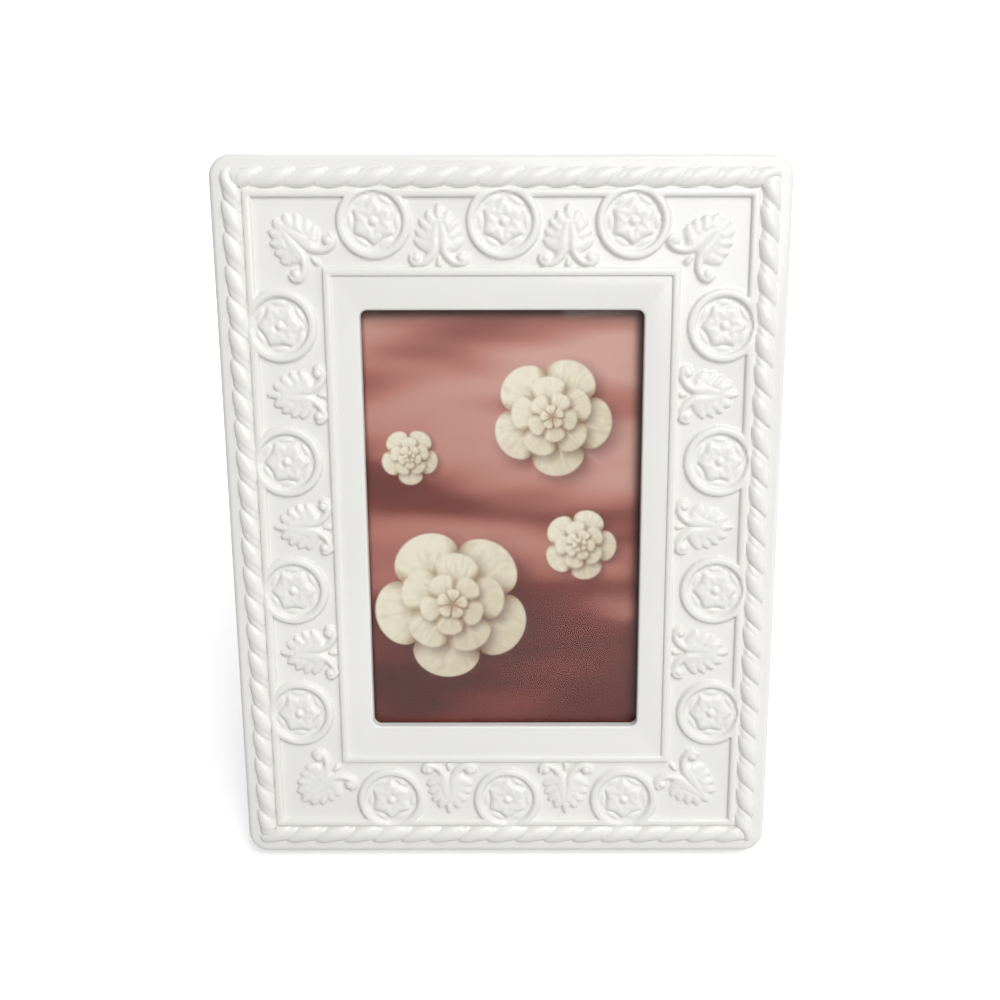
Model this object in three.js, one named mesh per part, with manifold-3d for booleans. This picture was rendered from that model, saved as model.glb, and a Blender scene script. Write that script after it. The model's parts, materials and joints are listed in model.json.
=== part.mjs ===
// Porcelain picture frame with a velvet easel back, for one 102 x 152 mm print.
// Millimetres, +Z up. The frame faces -Y and leans back on a hinged strut.
import * as THREE from 'three';
import { mergeVertices } from 'three/addons/utils/BufferGeometryUtils.js';
import Module from 'manifold-3d';

const wasm = await Module();
wasm.setup();

const degrees = THREE.MathUtils.degToRad;

// Pose
const LEAN = degrees(14);
const STRUT_ANGLE = degrees(26); // between the back and the open strut

// Fits
const SEAT_GAP = 0.3; // between pieces that lie on one another
const RUNNING_GAP = 0.3; // round pins and rivets, on the radius

// Print, card and glass
const PRINT_WIDTH = 101.6;
const PRINT_HEIGHT = 152.4;
const PRINT_THICKNESS = 0.4;
const CARD_THICKNESS = 1.0;
const GLASS_THICKNESS = 2.0;
const GLASS_MARGIN = 0.4; // the glass reaches this far past the print
const REBATE_CLEARANCE = 0.5;

// Porcelain front, from the window outwards
const SIDE_OVERLAP = 2.8; // how much of the print's long edges the lip covers
const END_OVERLAP = 1.2;
const WINDOW_RADIUS = 2.5;
const WINDOW_EASE = 0.8;
const SIDE_BORDER = 9.0;
const END_BORDER = 11.2;
const LIST_WIDTH = 3.0;
const LIST_SLOPE = 0.4;
const LIST_RADIUS = 0.6;
const PANEL_WIDTH = 22.4;
const ROPE_WIDTH = 7.5;
const RIM_FLAT = 1.4;
const RIM_ROUND = 2.0;

// Porcelain depths, back from the tops of the two raised lists
const BORDER_DROP = 0.9;
const PANEL_DROP = 1.5;
const RIM_DROP = 1.2;
const LIP_THICKNESS = 3.6;
const REAR_LIP = 2.9; // behind the turn buttons' slots

// Porcelain skirt and back
const SKIRT_FLARE = 0.6;
const SKIRT_WALL = 6.2;
const REAR_EASE = 1.0;
const RECESS_RADIUS = 4;
const REBATE_RADIUS = 0.6;
const FOOT_GRIND = 0.9; // taken off the rear bottom edge to stand on

// Rope moulding
const ROPE_RISE = 2.6;
const ROPE_PITCH = 10.4;
const ROPE_GROOVE = 0.9;
const ROPE_LAY = 6.5; // how far a strand runs on while it crosses the rope
const ROPE_INNER_RADIUS = 0.8;
const ROPE_OUTER_RADIUS = 4;
const STEPS_PER_STRAND = 3;
const STEPS_ACROSS_ROPE = 4;

// Medallions
const RING_RADIUS = 12.3;
const RING_BAND = 3.0;
const RING_RISE = 1.9;
const RING_BEVEL = 0.75;
const RING_BEVEL_DROP = 0.95;
const RING_OVERHANG = 1.8; // how far a ring passes the outer list
const ROSETTE_RADIUS = 8;
const ROSETTE_NOTCH = 6;
const ROSETTE_RISE = 1.2;
const PETALS = 6;
const BOSS_RADIUS = 2.1;
const BOSS_RISE = 1.8;
const END_MEDALLIONS = 3;
const SIDE_MEDALLIONS = 4;
const END_CORNER_SPAN = 28.2; // along the panel's middle, from its corner to the first medallion
const SIDE_CORNER_SPAN = 30.65;

// Relief of petals and lobes, as shares of their rise
const TIP_LIFT = 0.5;
const NOTCH_LIFT = 0.15;

// Acanthus palmettes
const LEAF_HEIGHT = 16.5;
const LEAF_SHOULDER = 9;
const LEAF_SPREAD = degrees(108);
const LEAF_LOBES = 7;
const LEAF_TAPER = 1.6; // the larger, the slower the lobes shorten to the sides
const LEAF_NOTCH = 0.76;
const LEAF_RISE = 1.5;
const VOLUTE_RADIUS = 2.5;
const VOLUTE_SPACING = 12.5;
const PALMETTE_INSET = 1.2; // between the inner list and the volutes

// Back board and its velvet
const BOARD_THICKNESS = 3.0;
const BOARD_CLEARANCE = 0.7;
const VELVET_THICKNESS = 0.7;

// Turn buttons
const BUTTON_CORNER_SPAN = 42.7; // from the recess's ends to the pivots
const BUTTON_WIDTH = 9;
const BUTTON_THICKNESS = 1.0;
const BUTTON_SETBACK = 10.5; // from the recess wall to the pivot
const BUTTON_ENGAGE = 2.5; // length of tip inside the porcelain slot
const SLOT_CLEARANCE = 0.7;

// Rivets
const RIVET_SHANK = 1.1;
const RIVET_HEAD = 2.3;
const RIVET_CROWN = 0.9;
const RIVET_RIM = 0.25; // straight share of the crown
const BUTTON_RIVET_SHANK = 1.5;
const BUTTON_RIVET_HEAD = 3.1;

// Hinge
const HINGE_RISE = 37; // above the middle of the frame
const HINGE_WIDTH = 40;
const LEAF_THICKNESS = 0.8;
const LEAF_CORNER = 1.25;
const BOARD_LEAF_REACH = 13;
const STRUT_LEAF_REACH = 18;
const PIN_RADIUS = 0.9;
const KNUCKLE_WALL = 1.3;
const KNUCKLE_GAP = 0.4;
const RIVET_EDGE = 6; // from a leaf's sides to its outer rivets

// Strut
const STRUT_SHOULDER = 2; // the strut's top passes the hinge by this on each side
const STRUT_FOOT_WIDTH = 62;
const STRUT_CORNER = 4;
const STRUT_THICKNESS = 2.2;
const STRUT_VELVET = 0.4;
const STRUT_TOP_GAP = 0.8; // between the knuckles and the strut's top edge
const VELVET_SETBACK = 0.6; // the velvet ends above the foot

// Stay ribbon
const RIBBON_WIDTH = 10;
const RIBBON_THICKNESS = 0.4;
const RIBBON_REACH = 95; // from the hinge pin
const RIBBON_TAB = 10;

// Faceting
const CORNER_STEPS = 4;
const ROUND_SIDES = 16;
const SMALL_SIDES = 8;
const EMBED = 0.6; // how deep raised ornament is rooted in the porcelain
const WELD = 1e-5; // corners closer than this are one

// Half sizes of the nested rectangles, worked out from the print
const grow = ([width, height], amount) => [width + amount, height + amount];
const half = { print: [PRINT_WIDTH / 2, PRINT_HEIGHT / 2] };
half.window = [half.print[0] - SIDE_OVERLAP, half.print[1] - END_OVERLAP];
half.border = [half.window[0] + SIDE_BORDER, half.window[1] + END_BORDER];
half.panelInner = grow(half.border, LIST_WIDTH);
half.panelOuter = grow(half.panelInner, PANEL_WIDTH);
half.ropeInner = grow(half.panelOuter, LIST_WIDTH);
half.ropeOuter = grow(half.ropeInner, ROPE_WIDTH);
half.rim = grow(half.ropeOuter, RIM_FLAT);
half.side = grow(half.rim, RIM_ROUND);
half.rear = grow(half.side, SKIRT_FLARE);
half.recess = grow(half.side, -SKIRT_WALL);
half.glass = grow(half.print, GLASS_MARGIN);
half.rebate = grow(half.glass, REBATE_CLEARANCE);
half.board = grow(half.recess, -BOARD_CLEARANCE);

// Depths of the stack behind the window
const lipRear = BORDER_DROP + LIP_THICKNESS;
const glassFront = lipRear + SEAT_GAP;
const printFront = glassFront + GLASS_THICKNESS + SEAT_GAP;
const cardFront = printFront + PRINT_THICKNESS + SEAT_GAP;
const ledge = cardFront + CARD_THICKNESS;
const boardFront = ledge + SEAT_GAP;
const velvetFront = boardFront + BOARD_THICKNESS + SEAT_GAP;
const velvetRear = velvetFront + VELVET_THICKNESS;
const fittingFront = velvetRear + SEAT_GAP;
const frameDepth = fittingFront + BUTTON_THICKNESS + SLOT_CLEARANCE + REAR_LIP;

// Hinge barrel
const boreRadius = PIN_RADIUS + RUNNING_GAP;
const knuckleRadius = boreRadius + KNUCKLE_WALL;
const knuckleLength = (HINGE_WIDTH - 2 * KNUCKLE_GAP) / 3;
const knucklePlaces = [-1, 0, 1].map((place) => place * (knuckleLength + KNUCKLE_GAP));

// Where the leaning frame and its hinge stand above the table
const originHeight = half.rear[1] * Math.cos(LEAN) + frameDepth * Math.sin(LEAN) - FOOT_GRIND;
const hingeDepth = fittingFront + knuckleRadius;
const hingeHeight = originHeight - hingeDepth * Math.sin(LEAN) + HINGE_RISE * Math.cos(LEAN);
const strutTilt = STRUT_ANGLE - LEAN;

// Finishes
const finish = (color, roughness, metalness = 0) =>
  new THREE.MeshStandardMaterial({ color, roughness, metalness });
const finishes = {
  porcelain: () => finish(0xf2f1ec, 0.12),
  glass: () => finish(0xdfe8e6, 0.03),
  print: () => finish(0xb9706a, 0.35),
  card: () => finish(0xb9a98c, 0.9),
  board: () => finish(0x8a6a48, 0.8),
  velvet: () => finish(0x2a2a30, 0.95),
  brass: () => finish(0xc9a24e, 0.3, 1),
  steel: () => finish(0xb8babd, 0.3, 1),
  ribbon: () => finish(0x33333a, 0.5),
};

// Turns a three.js geometry into a closed solid that can be joined and cut
function solid(geometry) {
  const bare = geometry.clone();
  for (const name of ['normal', 'uv']) bare.deleteAttribute(name);
  const merged = mergeVertices(bare, WELD);
  const vertProperties = new Float32Array(merged.attributes.position.array);
  const triVerts = new Uint32Array(merged.index.array);
  return new wasm.Manifold(new wasm.Mesh({ numProp: 3, vertProperties, triVerts }));
}

// Gives a joined or cut solid back as a three.js geometry
function geometryOf(manifold) {
  const mesh = manifold.getMesh();
  const geometry = new THREE.BufferGeometry();
  geometry.setAttribute('position', new THREE.BufferAttribute(mesh.vertProperties, mesh.numProp));
  geometry.setIndex(new THREE.BufferAttribute(mesh.triVerts, 1));
  return geometry;
}

const joined = (geometries) => geometries.map(solid).reduce((whole, piece) => whole.add(piece));
const cut = (body, tools) => tools.map(solid).reduce((rest, tool) => rest.subtract(tool), body);

// A rounded rectangle in the frame's plane, clockwise from the lower left as seen from the front.
// Each point keeps its strand phase, which only the rope uses.
function rectangleLoop([width, height], radius, depth, sideSteps = [1, 1]) {
  const corners = [[-1, -1], [-1, 1], [1, 1], [1, -1]];
  const points = [];
  corners.forEach(([signX, signZ], corner) => {
    const start = Math.PI * (1.5 - corner / 2);
    const centre = [signX * (width - radius), signZ * (height - radius)];
    for (let step = 0; step <= CORNER_STEPS; step += 1) {
      const angle = start - (Math.PI / 2) * (step / CORNER_STEPS);
      const x = centre[0] + radius * Math.cos(angle);
      const z = centre[1] + radius * Math.sin(angle);
      points.push({ x, y: depth, z, phase: step / CORNER_STEPS });
    }
    const next = corners[(corner + 1) % 4];
    const steps = sideSteps[(corner + 1) % 2];
    const from = points.at(-1);
    const startAngle = start - Math.PI / 2;
    const to = {
      x: next[0] * (width - radius) + radius * Math.cos(startAngle),
      z: next[1] * (height - radius) + radius * Math.sin(startAngle),
    };
    for (let step = 1; step < steps; step += 1) {
      const share = step / steps;
      const x = THREE.MathUtils.lerp(from.x, to.x, share);
      const z = THREE.MathUtils.lerp(from.z, to.z, share);
      points.push({ x, y: depth, z, phase: step / STEPS_PER_STRAND });
    }
  });
  return points;
}

// Joins closed loops of equal length, each to the next and the last to the first
function loftRing(loops) {
  const count = loops[0].length;
  const index = [];
  loops.forEach((loop, i) => {
    const here = i * count;
    const there = ((i + 1) % loops.length) * count;
    for (let j = 0; j < count; j += 1) {
      const k = (j + 1) % count;
      index.push(here + j, here + k, there + j, here + k, there + k, there + j);
    }
  });
  const geometry = new THREE.BufferGeometry();
  const positions = loops.flat().flatMap(({ x, y, z }) => [x, y, z]);
  geometry.setAttribute('position', new THREE.Float32BufferAttribute(positions, 3));
  geometry.setIndex(index);
  return geometry;
}

// A plate cut from an outline in the frame's plane, running back from a depth
function plate(shape, depth, thickness) {
  const options = { depth: thickness, bevelEnabled: false, curveSegments: CORNER_STEPS };
  const geometry = new THREE.ExtrudeGeometry(shape, options);
  return geometry.rotateX(Math.PI / 2).translate(0, depth + thickness, 0);
}

// A rectangle outline with rounded corners and round holes
function plateShape([width, height], radius, holes = []) {
  const shape = new THREE.Shape();
  shape.moveTo(width, radius - height);
  shape.absarc(width - radius, height - radius, radius, 0, Math.PI / 2);
  shape.absarc(radius - width, height - radius, radius, Math.PI / 2, Math.PI);
  shape.absarc(radius - width, radius - height, radius, Math.PI, 1.5 * Math.PI);
  shape.absarc(width - radius, radius - height, radius, 1.5 * Math.PI, 2 * Math.PI);
  punch(shape, holes);
  return shape;
}

function punch(shape, holes) {
  for (const { x, z, radius } of holes) {
    const hole = new THREE.Path();
    for (let side = 0; side < SMALL_SIDES; side += 1) {
      const angle = (-2 * Math.PI * side) / SMALL_SIDES;
      const point = [x + radius * Math.cos(angle), z + radius * Math.sin(angle)];
      if (side === 0) hole.moveTo(...point);
      else hole.lineTo(...point);
    }
    hole.closePath();
    shape.holes.push(hole);
  }
}

// A round rod along +Y, from one depth to another
function rod(radius, from, to, sides = SMALL_SIDES) {
  const geometry = new THREE.CylinderGeometry(radius, radius, to - from, sides);
  return geometry.translate(0, (from + to) / 2, 0);
}

const leafRivet = { shank: RIVET_SHANK, head: RIVET_HEAD };
const pivotRivet = { shank: BUTTON_RIVET_SHANK, head: BUTTON_RIVET_HEAD };

// A domed rivet along Y: its shank starts at zero and its head seats at the given length
function rivet({ shank, head }, length) {
  const dome = [0, 1, 2].map((step) => {
    const angle = (Math.PI / 2) * (step / 3);
    const rise = RIVET_CROWN * THREE.MathUtils.lerp(RIVET_RIM, 1, Math.sin(angle));
    return new THREE.Vector2(head * Math.cos(angle), length + rise);
  });
  const profile = [
    new THREE.Vector2(0, 0),
    new THREE.Vector2(shank, 0),
    new THREE.Vector2(shank, length),
    new THREE.Vector2(head, length),
    ...dome,
    new THREE.Vector2(0, length + RIVET_CROWN),
  ];
  return new THREE.LatheGeometry(profile, SMALL_SIDES);
}

// A raised form over an outline that runs anticlockwise as seen from the front.
// Each point lifts off the panel by its own share of the rise, and the crown by all of it.
function crowned(outline, crown, rise) {
  const count = outline.length;
  const root = PANEL_DROP + EMBED;
  const rim = outline.map(({ x, z, lift }) => [x, PANEL_DROP - lift * rise, z]);
  const foot = outline.map(({ x, z }) => [x, root, z]);
  const ends = [[crown.x, PANEL_DROP - rise, crown.z], [crown.x, root, crown.z]];
  const index = [];
  for (let here = 0; here < count; here += 1) {
    const next = (here + 1) % count;
    index.push(2 * count, here, next);
    index.push(here, count + here, count + next, here, count + next, next);
    index.push(2 * count + 1, count + next, count + here);
  }
  const geometry = new THREE.BufferGeometry();
  const positions = [...rim, ...foot, ...ends].flat();
  geometry.setAttribute('position', new THREE.Float32BufferAttribute(positions, 3));
  geometry.setIndex(index);
  return geometry;
}

function named(name, geometry, material) {
  const mesh = new THREE.Mesh(geometry, material);
  mesh.name = name;
  return mesh;
}

// PORCELAIN

// The plain section, from the window's front edge out, round the skirt and in again
function porcelainRing() {
  const listTop = (inner) => [
    [grow(inner, LIST_SLOPE), LIST_RADIUS, 0],
    [grow(inner, LIST_WIDTH - LIST_SLOPE), LIST_RADIUS, 0],
  ];
  const rimRadius = ROPE_OUTER_RADIUS + RIM_FLAT;
  const roundOver = [1, 2, 3].map((step) => {
    const angle = (Math.PI / 2) * (step / 3);
    const out = RIM_ROUND * Math.sin(angle);
    const back = RIM_ROUND * (1 - Math.cos(angle));
    return [grow(half.rim, out), rimRadius + out, RIM_DROP + back];
  });
  const sideRadius = rimRadius + RIM_ROUND;
  const section = [
    [half.window, WINDOW_RADIUS, BORDER_DROP + WINDOW_EASE],
    [grow(half.window, WINDOW_EASE), WINDOW_RADIUS + WINDOW_EASE, BORDER_DROP],
    [half.border, LIST_RADIUS, BORDER_DROP],
    ...listTop(half.border),
    [half.panelInner, LIST_RADIUS, PANEL_DROP],
    [half.panelOuter, LIST_RADIUS, PANEL_DROP],
    ...listTop(half.panelOuter),
    [half.ropeInner, LIST_RADIUS, RIM_DROP],
    [half.rim, rimRadius, RIM_DROP],
    ...roundOver,
    [half.rear, sideRadius + SKIRT_FLARE, frameDepth - REAR_EASE],
    [grow(half.rear, -REAR_EASE), sideRadius + SKIRT_FLARE - REAR_EASE, frameDepth],
    [grow(half.recess, REAR_EASE), RECESS_RADIUS + REAR_EASE, frameDepth],
    [half.recess, RECESS_RADIUS, frameDepth - REAR_EASE],
    [half.recess, RECESS_RADIUS, ledge],
    [half.rebate, REBATE_RADIUS, ledge],
    [half.rebate, REBATE_RADIUS, lipRear],
    [half.window, WINDOW_RADIUS, lipRear],
  ];
  return loftRing(section.map(([size, radius, depth]) => rectangleLoop(size, radius, depth)));
}

// The cable moulding: a half round whose height dips between slanting strands
function rope() {
  const strands = (length) => STEPS_PER_STRAND * Math.round((2 * length) / ROPE_PITCH);
  const sideSteps = half.ropeInner.map((length) => strands(length - ROPE_INNER_RADIUS));
  const top = Array.from({ length: STEPS_ACROSS_ROPE + 1 }, (_, step) => {
    const around = (Math.PI * step) / STEPS_ACROSS_ROPE;
    const share = (1 - Math.cos(around)) / 2;
    const bulge = Math.sin(around);
    const radius = THREE.MathUtils.lerp(ROPE_INNER_RADIUS, ROPE_OUTER_RADIUS, share);
    const size = grow(half.ropeInner, share * ROPE_WIDTH);
    const loop = rectangleLoop(size, radius, RIM_DROP, sideSteps);
    for (const point of loop) {
      const turn = 2 * Math.PI * (point.phase - (share * ROPE_LAY) / ROPE_PITCH);
      const dip = (ROPE_GROOVE * (1 + Math.cos(turn))) / 2;
      point.y -= bulge * (ROPE_RISE - dip);
    }
    return loop;
  });
  const base = [ROPE_OUTER_RADIUS, ROPE_INNER_RADIUS].map((radius, i) => {
    const size = i === 0 ? half.ropeOuter : half.ropeInner;
    return rectangleLoop(size, radius, RIM_DROP + EMBED, sideSteps);
  });
  return loftRing([...top, ...base]);
}

// A ring, a petalled rosette and its boss, about the Y axis
function medallion() {
  const root = PANEL_DROP + EMBED;
  const ringTop = PANEL_DROP - RING_RISE;
  const ringProfile = [
    [RING_RADIUS - RING_BAND, root],
    [RING_RADIUS, root],
    [RING_RADIUS, ringTop + RING_BEVEL_DROP],
    [RING_RADIUS - RING_BEVEL, ringTop],
    [RING_RADIUS - RING_BAND + RING_BEVEL, ringTop],
    [RING_RADIUS - RING_BAND, ringTop + RING_BEVEL_DROP],
    [RING_RADIUS - RING_BAND, root],
  ];
  const ringPoints = ringProfile.reverse().map(([r, y]) => new THREE.Vector2(r, y));
  const ring = new THREE.LatheGeometry(ringPoints, ROUND_SIDES);
  const petals = Array.from({ length: 2 * PETALS }, (_, point) => {
    const angle = (Math.PI * point) / PETALS - Math.PI / 2;
    const atTip = point % 2 === 0;
    const radius = atTip ? ROSETTE_RADIUS : ROSETTE_NOTCH;
    const lift = atTip ? TIP_LIFT : NOTCH_LIFT;
    return { x: radius * Math.cos(angle), z: radius * Math.sin(angle), lift };
  });
  const rosette = crowned(petals, { x: 0, z: 0 }, ROSETTE_RISE);
  const dome = [0, 1, 2].map((step) => {
    const angle = (Math.PI / 4) * step;
    const rise = THREE.MathUtils.lerp(ROSETTE_RISE, BOSS_RISE, Math.cos(angle));
    return [BOSS_RADIUS * Math.sin(angle), PANEL_DROP - rise];
  });
  const bossProfile = [...dome, [BOSS_RADIUS, root], [0, root]];
  const bossPoints = bossProfile.map(([r, y]) => new THREE.Vector2(r, y));
  const boss = new THREE.LatheGeometry(bossPoints, SMALL_SIDES);
  return [ring, rosette, boss];
}

// A lobed leaf that points to +Z, with two volutes at its base
function palmette() {
  const last = 2 * LEAF_LOBES;
  const edge = Array.from({ length: last + 1 }, (_, point) => {
    const angle = LEAF_SPREAD * (1 - (2 * point) / last);
    const share = Math.cos(angle / LEAF_TAPER) ** 2;
    const envelope = THREE.MathUtils.lerp(LEAF_SHOULDER, LEAF_HEIGHT, share);
    const atTip = point % 2 === 1;
    const radius = atTip ? envelope : LEAF_NOTCH * envelope;
    const lift = atTip ? TIP_LIFT : NOTCH_LIFT;
    return { x: radius * Math.sin(angle), z: radius * Math.cos(angle), lift };
  });
  const outline = [...edge, { x: 0, z: 0, lift: TIP_LIFT }];
  const leaf = crowned(outline, { x: 0, z: LEAF_SHOULDER / 2 }, LEAF_RISE);
  const volutes = [-1, 1].map((side) => {
    const volute = rod(VOLUTE_RADIUS, PANEL_DROP - LEAF_RISE, PANEL_DROP + EMBED);
    return volute.translate((side * VOLUTE_SPACING) / 2, 0, 0);
  });
  return [leaf, ...volutes];
}

// Evenly spaced places about zero
function spread(count, pitch) {
  return Array.from({ length: count }, (_, i) => (i - (count - 1) / 2) * pitch);
}

// Every ornament's place on the front: where it stands and which way is outwards
function ornamentPlaces() {
  const leafInset = PALMETTE_INSET + VOLUTE_RADIUS;
  const [ringX, ringZ] = grow(half.ropeInner, RING_OVERHANG - RING_RADIUS);
  const [leafX, leafZ] = grow(half.panelInner, leafInset);
  const [cornerX, cornerZ] = grow(half.panelInner, leafInset * Math.SQRT1_2);
  const [panelX, panelZ] = grow(half.panelInner, PANEL_WIDTH / 2);
  const endPitch = (2 * (panelX - END_CORNER_SPAN)) / (END_MEDALLIONS - 1);
  const sidePitch = (2 * (panelZ - SIDE_CORNER_SPAN)) / (SIDE_MEDALLIONS - 1);
  const rings = [];
  const leaves = [];
  for (const sign of [1, -1]) {
    const endTurn = sign > 0 ? 0 : Math.PI;
    const sideTurn = (sign * Math.PI) / 2;
    const onEnd = (x, z) => ({ x, z: sign * z, turn: endTurn });
    const onSide = (x, z) => ({ x: sign * x, z, turn: sideTurn });
    rings.push(...spread(END_MEDALLIONS, endPitch).map((x) => onEnd(x, ringZ)));
    rings.push(...spread(SIDE_MEDALLIONS, sidePitch).map((z) => onSide(ringX, z)));
    leaves.push(...spread(END_MEDALLIONS - 1, endPitch).map((x) => onEnd(x, leafZ)));
    leaves.push(...spread(SIDE_MEDALLIONS - 1, sidePitch).map((z) => onSide(leafX, z)));
    leaves.push({ x: sign * cornerX, z: cornerZ, turn: sideTurn / 2 });
    leaves.push({ x: sign * cornerX, z: -cornerZ, turn: 1.5 * sideTurn });
  }
  return { rings, leaves };
}

function placed(geometries, { x, z, turn }) {
  return geometries.map((geometry) => geometry.clone().rotateY(turn).translate(x, 0, z));
}

// The slots that hold the turn buttons' tips
function buttonSlots() {
  const swing = Math.hypot(BUTTON_SETBACK + BUTTON_ENGAGE, BUTTON_WIDTH / 2);
  const reach = Math.sqrt(swing ** 2 - BUTTON_SETBACK ** 2) + SLOT_CLEARANCE;
  const depth = BUTTON_ENGAGE + SLOT_CLEARANCE;
  const thickness = BUTTON_THICKNESS + 2 * SLOT_CLEARANCE;
  return buttonPlaces().map(({ side, z }) => {
    const slot = new THREE.BoxGeometry(2 * depth, thickness, 2 * reach);
    return slot.translate(side * half.recess[0], fittingFront + BUTTON_THICKNESS / 2, z);
  });
}

// Everything below the table top, in the leaning frame's own axes
function belowTable() {
  const size = 4 * half.rear[1];
  const block = new THREE.BoxGeometry(size, size, size);
  return block.translate(0, 0, -originHeight - size / 2).rotateX(LEAN);
}

function porcelainBody() {
  const { rings, leaves } = ornamentPlaces();
  const ornaments = [
    ...rings.flatMap((place) => placed(medallion(), place)),
    ...leaves.flatMap((place) => placed(palmette(), place)),
  ];
  const whole = joined([porcelainRing(), rope(), ...ornaments]);
  return geometryOf(cut(whole, [...buttonSlots(), belowTable()]));
}

// PICTURE STACK

function sheetOf([width, height], depth, thickness) {
  const geometry = new THREE.BoxGeometry(2 * width, thickness, 2 * height);
  return geometry.translate(0, depth + thickness / 2, 0);
}

function pictureStack() {
  return [
    named('glass_pane', sheetOf(half.glass, glassFront, GLASS_THICKNESS), finishes.glass()),
    named('photo_print', sheetOf(half.print, printFront, PRINT_THICKNESS), finishes.print()),
    named('filler_card', sheetOf(half.print, cardFront, CARD_THICKNESS), finishes.card()),
  ];
}

// BACK BOARD

function buttonPlaces() {
  const x = half.recess[0] - BUTTON_SETBACK;
  const z = half.recess[1] - BUTTON_CORNER_SPAN;
  const quarters = [[-1, 1], [1, 1], [-1, -1], [1, -1]];
  return quarters.map(([side, end]) => ({ side, x: side * x, z: end * z }));
}

const rivetColumns = [-1, 0, 1].map((place) => place * (HINGE_WIDTH / 2 - RIVET_EDGE));
const boardLeafRivetRow = HINGE_RISE + (knuckleRadius + BOARD_LEAF_REACH) / 2;
const ribbonBoardRow = HINGE_RISE - RIBBON_REACH - RIBBON_TAB / 2;

// The rivet holes that the board and its velvet share
function boardHoles() {
  const small = RIVET_SHANK + RUNNING_GAP;
  const large = BUTTON_RIVET_SHANK + RUNNING_GAP;
  return [
    ...rivetColumns.map((x) => ({ x, z: boardLeafRivetRow, radius: small })),
    ...buttonPlaces().map(({ x, z }) => ({ x, z, radius: large })),
    { x: 0, z: ribbonBoardRow, radius: small },
  ];
}

function backBoard() {
  const shape = plateShape(half.board, RECESS_RADIUS, boardHoles());
  return [
    named('back_board', plate(shape, boardFront, BOARD_THICKNESS), finishes.board()),
    named('back_velvet', plate(shape, velvetFront, VELVET_THICKNESS), finishes.velvet()),
  ];
}

// Rivets through the back board are as long as the board, the velvet and what they hold
function boardRivet(name, x, z, size, held, material) {
  const start = boardFront + SEAT_GAP;
  const seat = fittingFront + held + SEAT_GAP;
  const mesh = named(name, rivet(size, seat - start), material);
  mesh.position.set(x, start, z);
  return mesh;
}

// TURN BUTTONS

// A brass tongue about its pivot, pointing to its own side of the frame
function turnButton(side) {
  const radius = BUTTON_WIDTH / 2;
  const tip = BUTTON_SETBACK + BUTTON_ENGAGE;
  const shape = new THREE.Shape();
  const tipRadius = radius / 2;
  shape.absarc(0, 0, radius, Math.PI / 2, 1.5 * Math.PI);
  shape.absarc(tip - tipRadius, tipRadius - radius, tipRadius, 1.5 * Math.PI, 2 * Math.PI);
  shape.absarc(tip - tipRadius, radius - tipRadius, tipRadius, 0, Math.PI / 2);
  punch(shape, [{ x: 0, z: 0, radius: BUTTON_RIVET_SHANK + RUNNING_GAP }]);
  const geometry = plate(shape, 0, BUTTON_THICKNESS);
  return side > 0 ? geometry : geometry.rotateY(Math.PI);
}

function turnButtons() {
  return buttonPlaces().flatMap(({ side, x, z }, i) => {
    const button = named(`turn_button_${i + 1}`, turnButton(side), finishes.brass());
    button.position.set(x, fittingFront, z);
    const pivotName = `turn_button_rivet_${i + 1}`;
    const pivot = boardRivet(pivotName, x, z, pivotRivet, BUTTON_THICKNESS, finishes.brass());
    return [button, pivot];
  });
}

// HINGE

// A knuckle tube along X about the pin
function knuckle(x) {
  const ring = new THREE.Shape();
  ring.absarc(0, 0, knuckleRadius, 0, 2 * Math.PI);
  const bore = new THREE.Path();
  bore.absarc(0, 0, boreRadius, 0, 2 * Math.PI, true);
  ring.holes.push(bore);
  const options = { depth: knuckleLength, bevelEnabled: false, curveSegments: ROUND_SIDES / 2 };
  const geometry = new THREE.ExtrudeGeometry(ring, options);
  return geometry.rotateY(Math.PI / 2).translate(x - knuckleLength / 2, 0, 0);
}

// A leaf about the pin, with its own knuckles and room for the other leaf's.
// Its plate runs from the pin to a reach, on the front or rear of the knuckles.
function hingeLeaf(knuckles, reach, depth, rivetRow) {
  const size = [HINGE_WIDTH / 2, Math.abs(reach) / 2];
  const radius = RIVET_SHANK + RUNNING_GAP;
  const holes = rivetColumns.map((x) => ({ x, z: rivetRow - reach / 2, radius }));
  const flat = plate(plateShape(size, LEAF_CORNER, holes), depth, LEAF_THICKNESS);
  flat.translate(0, 0, reach / 2);
  const others = knucklePlaces.filter((x) => !knuckles.includes(x));
  const cleared = others.map((x) => {
    const width = knuckleLength + 2 * KNUCKLE_GAP;
    const height = 2 * (knuckleRadius + KNUCKLE_GAP);
    return new THREE.BoxGeometry(width, 2 * height, height).translate(x, 0, 0);
  });
  const trimmed = cut(solid(flat), cleared);
  const bore = rod(boreRadius, -HINGE_WIDTH, HINGE_WIDTH, ROUND_SIDES).rotateZ(Math.PI / 2);
  const whole = knuckles.map(knuckle).map(solid).reduce((rest, tube) => rest.add(tube), trimmed);
  return geometryOf(cut(whole, [bore]));
}

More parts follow.
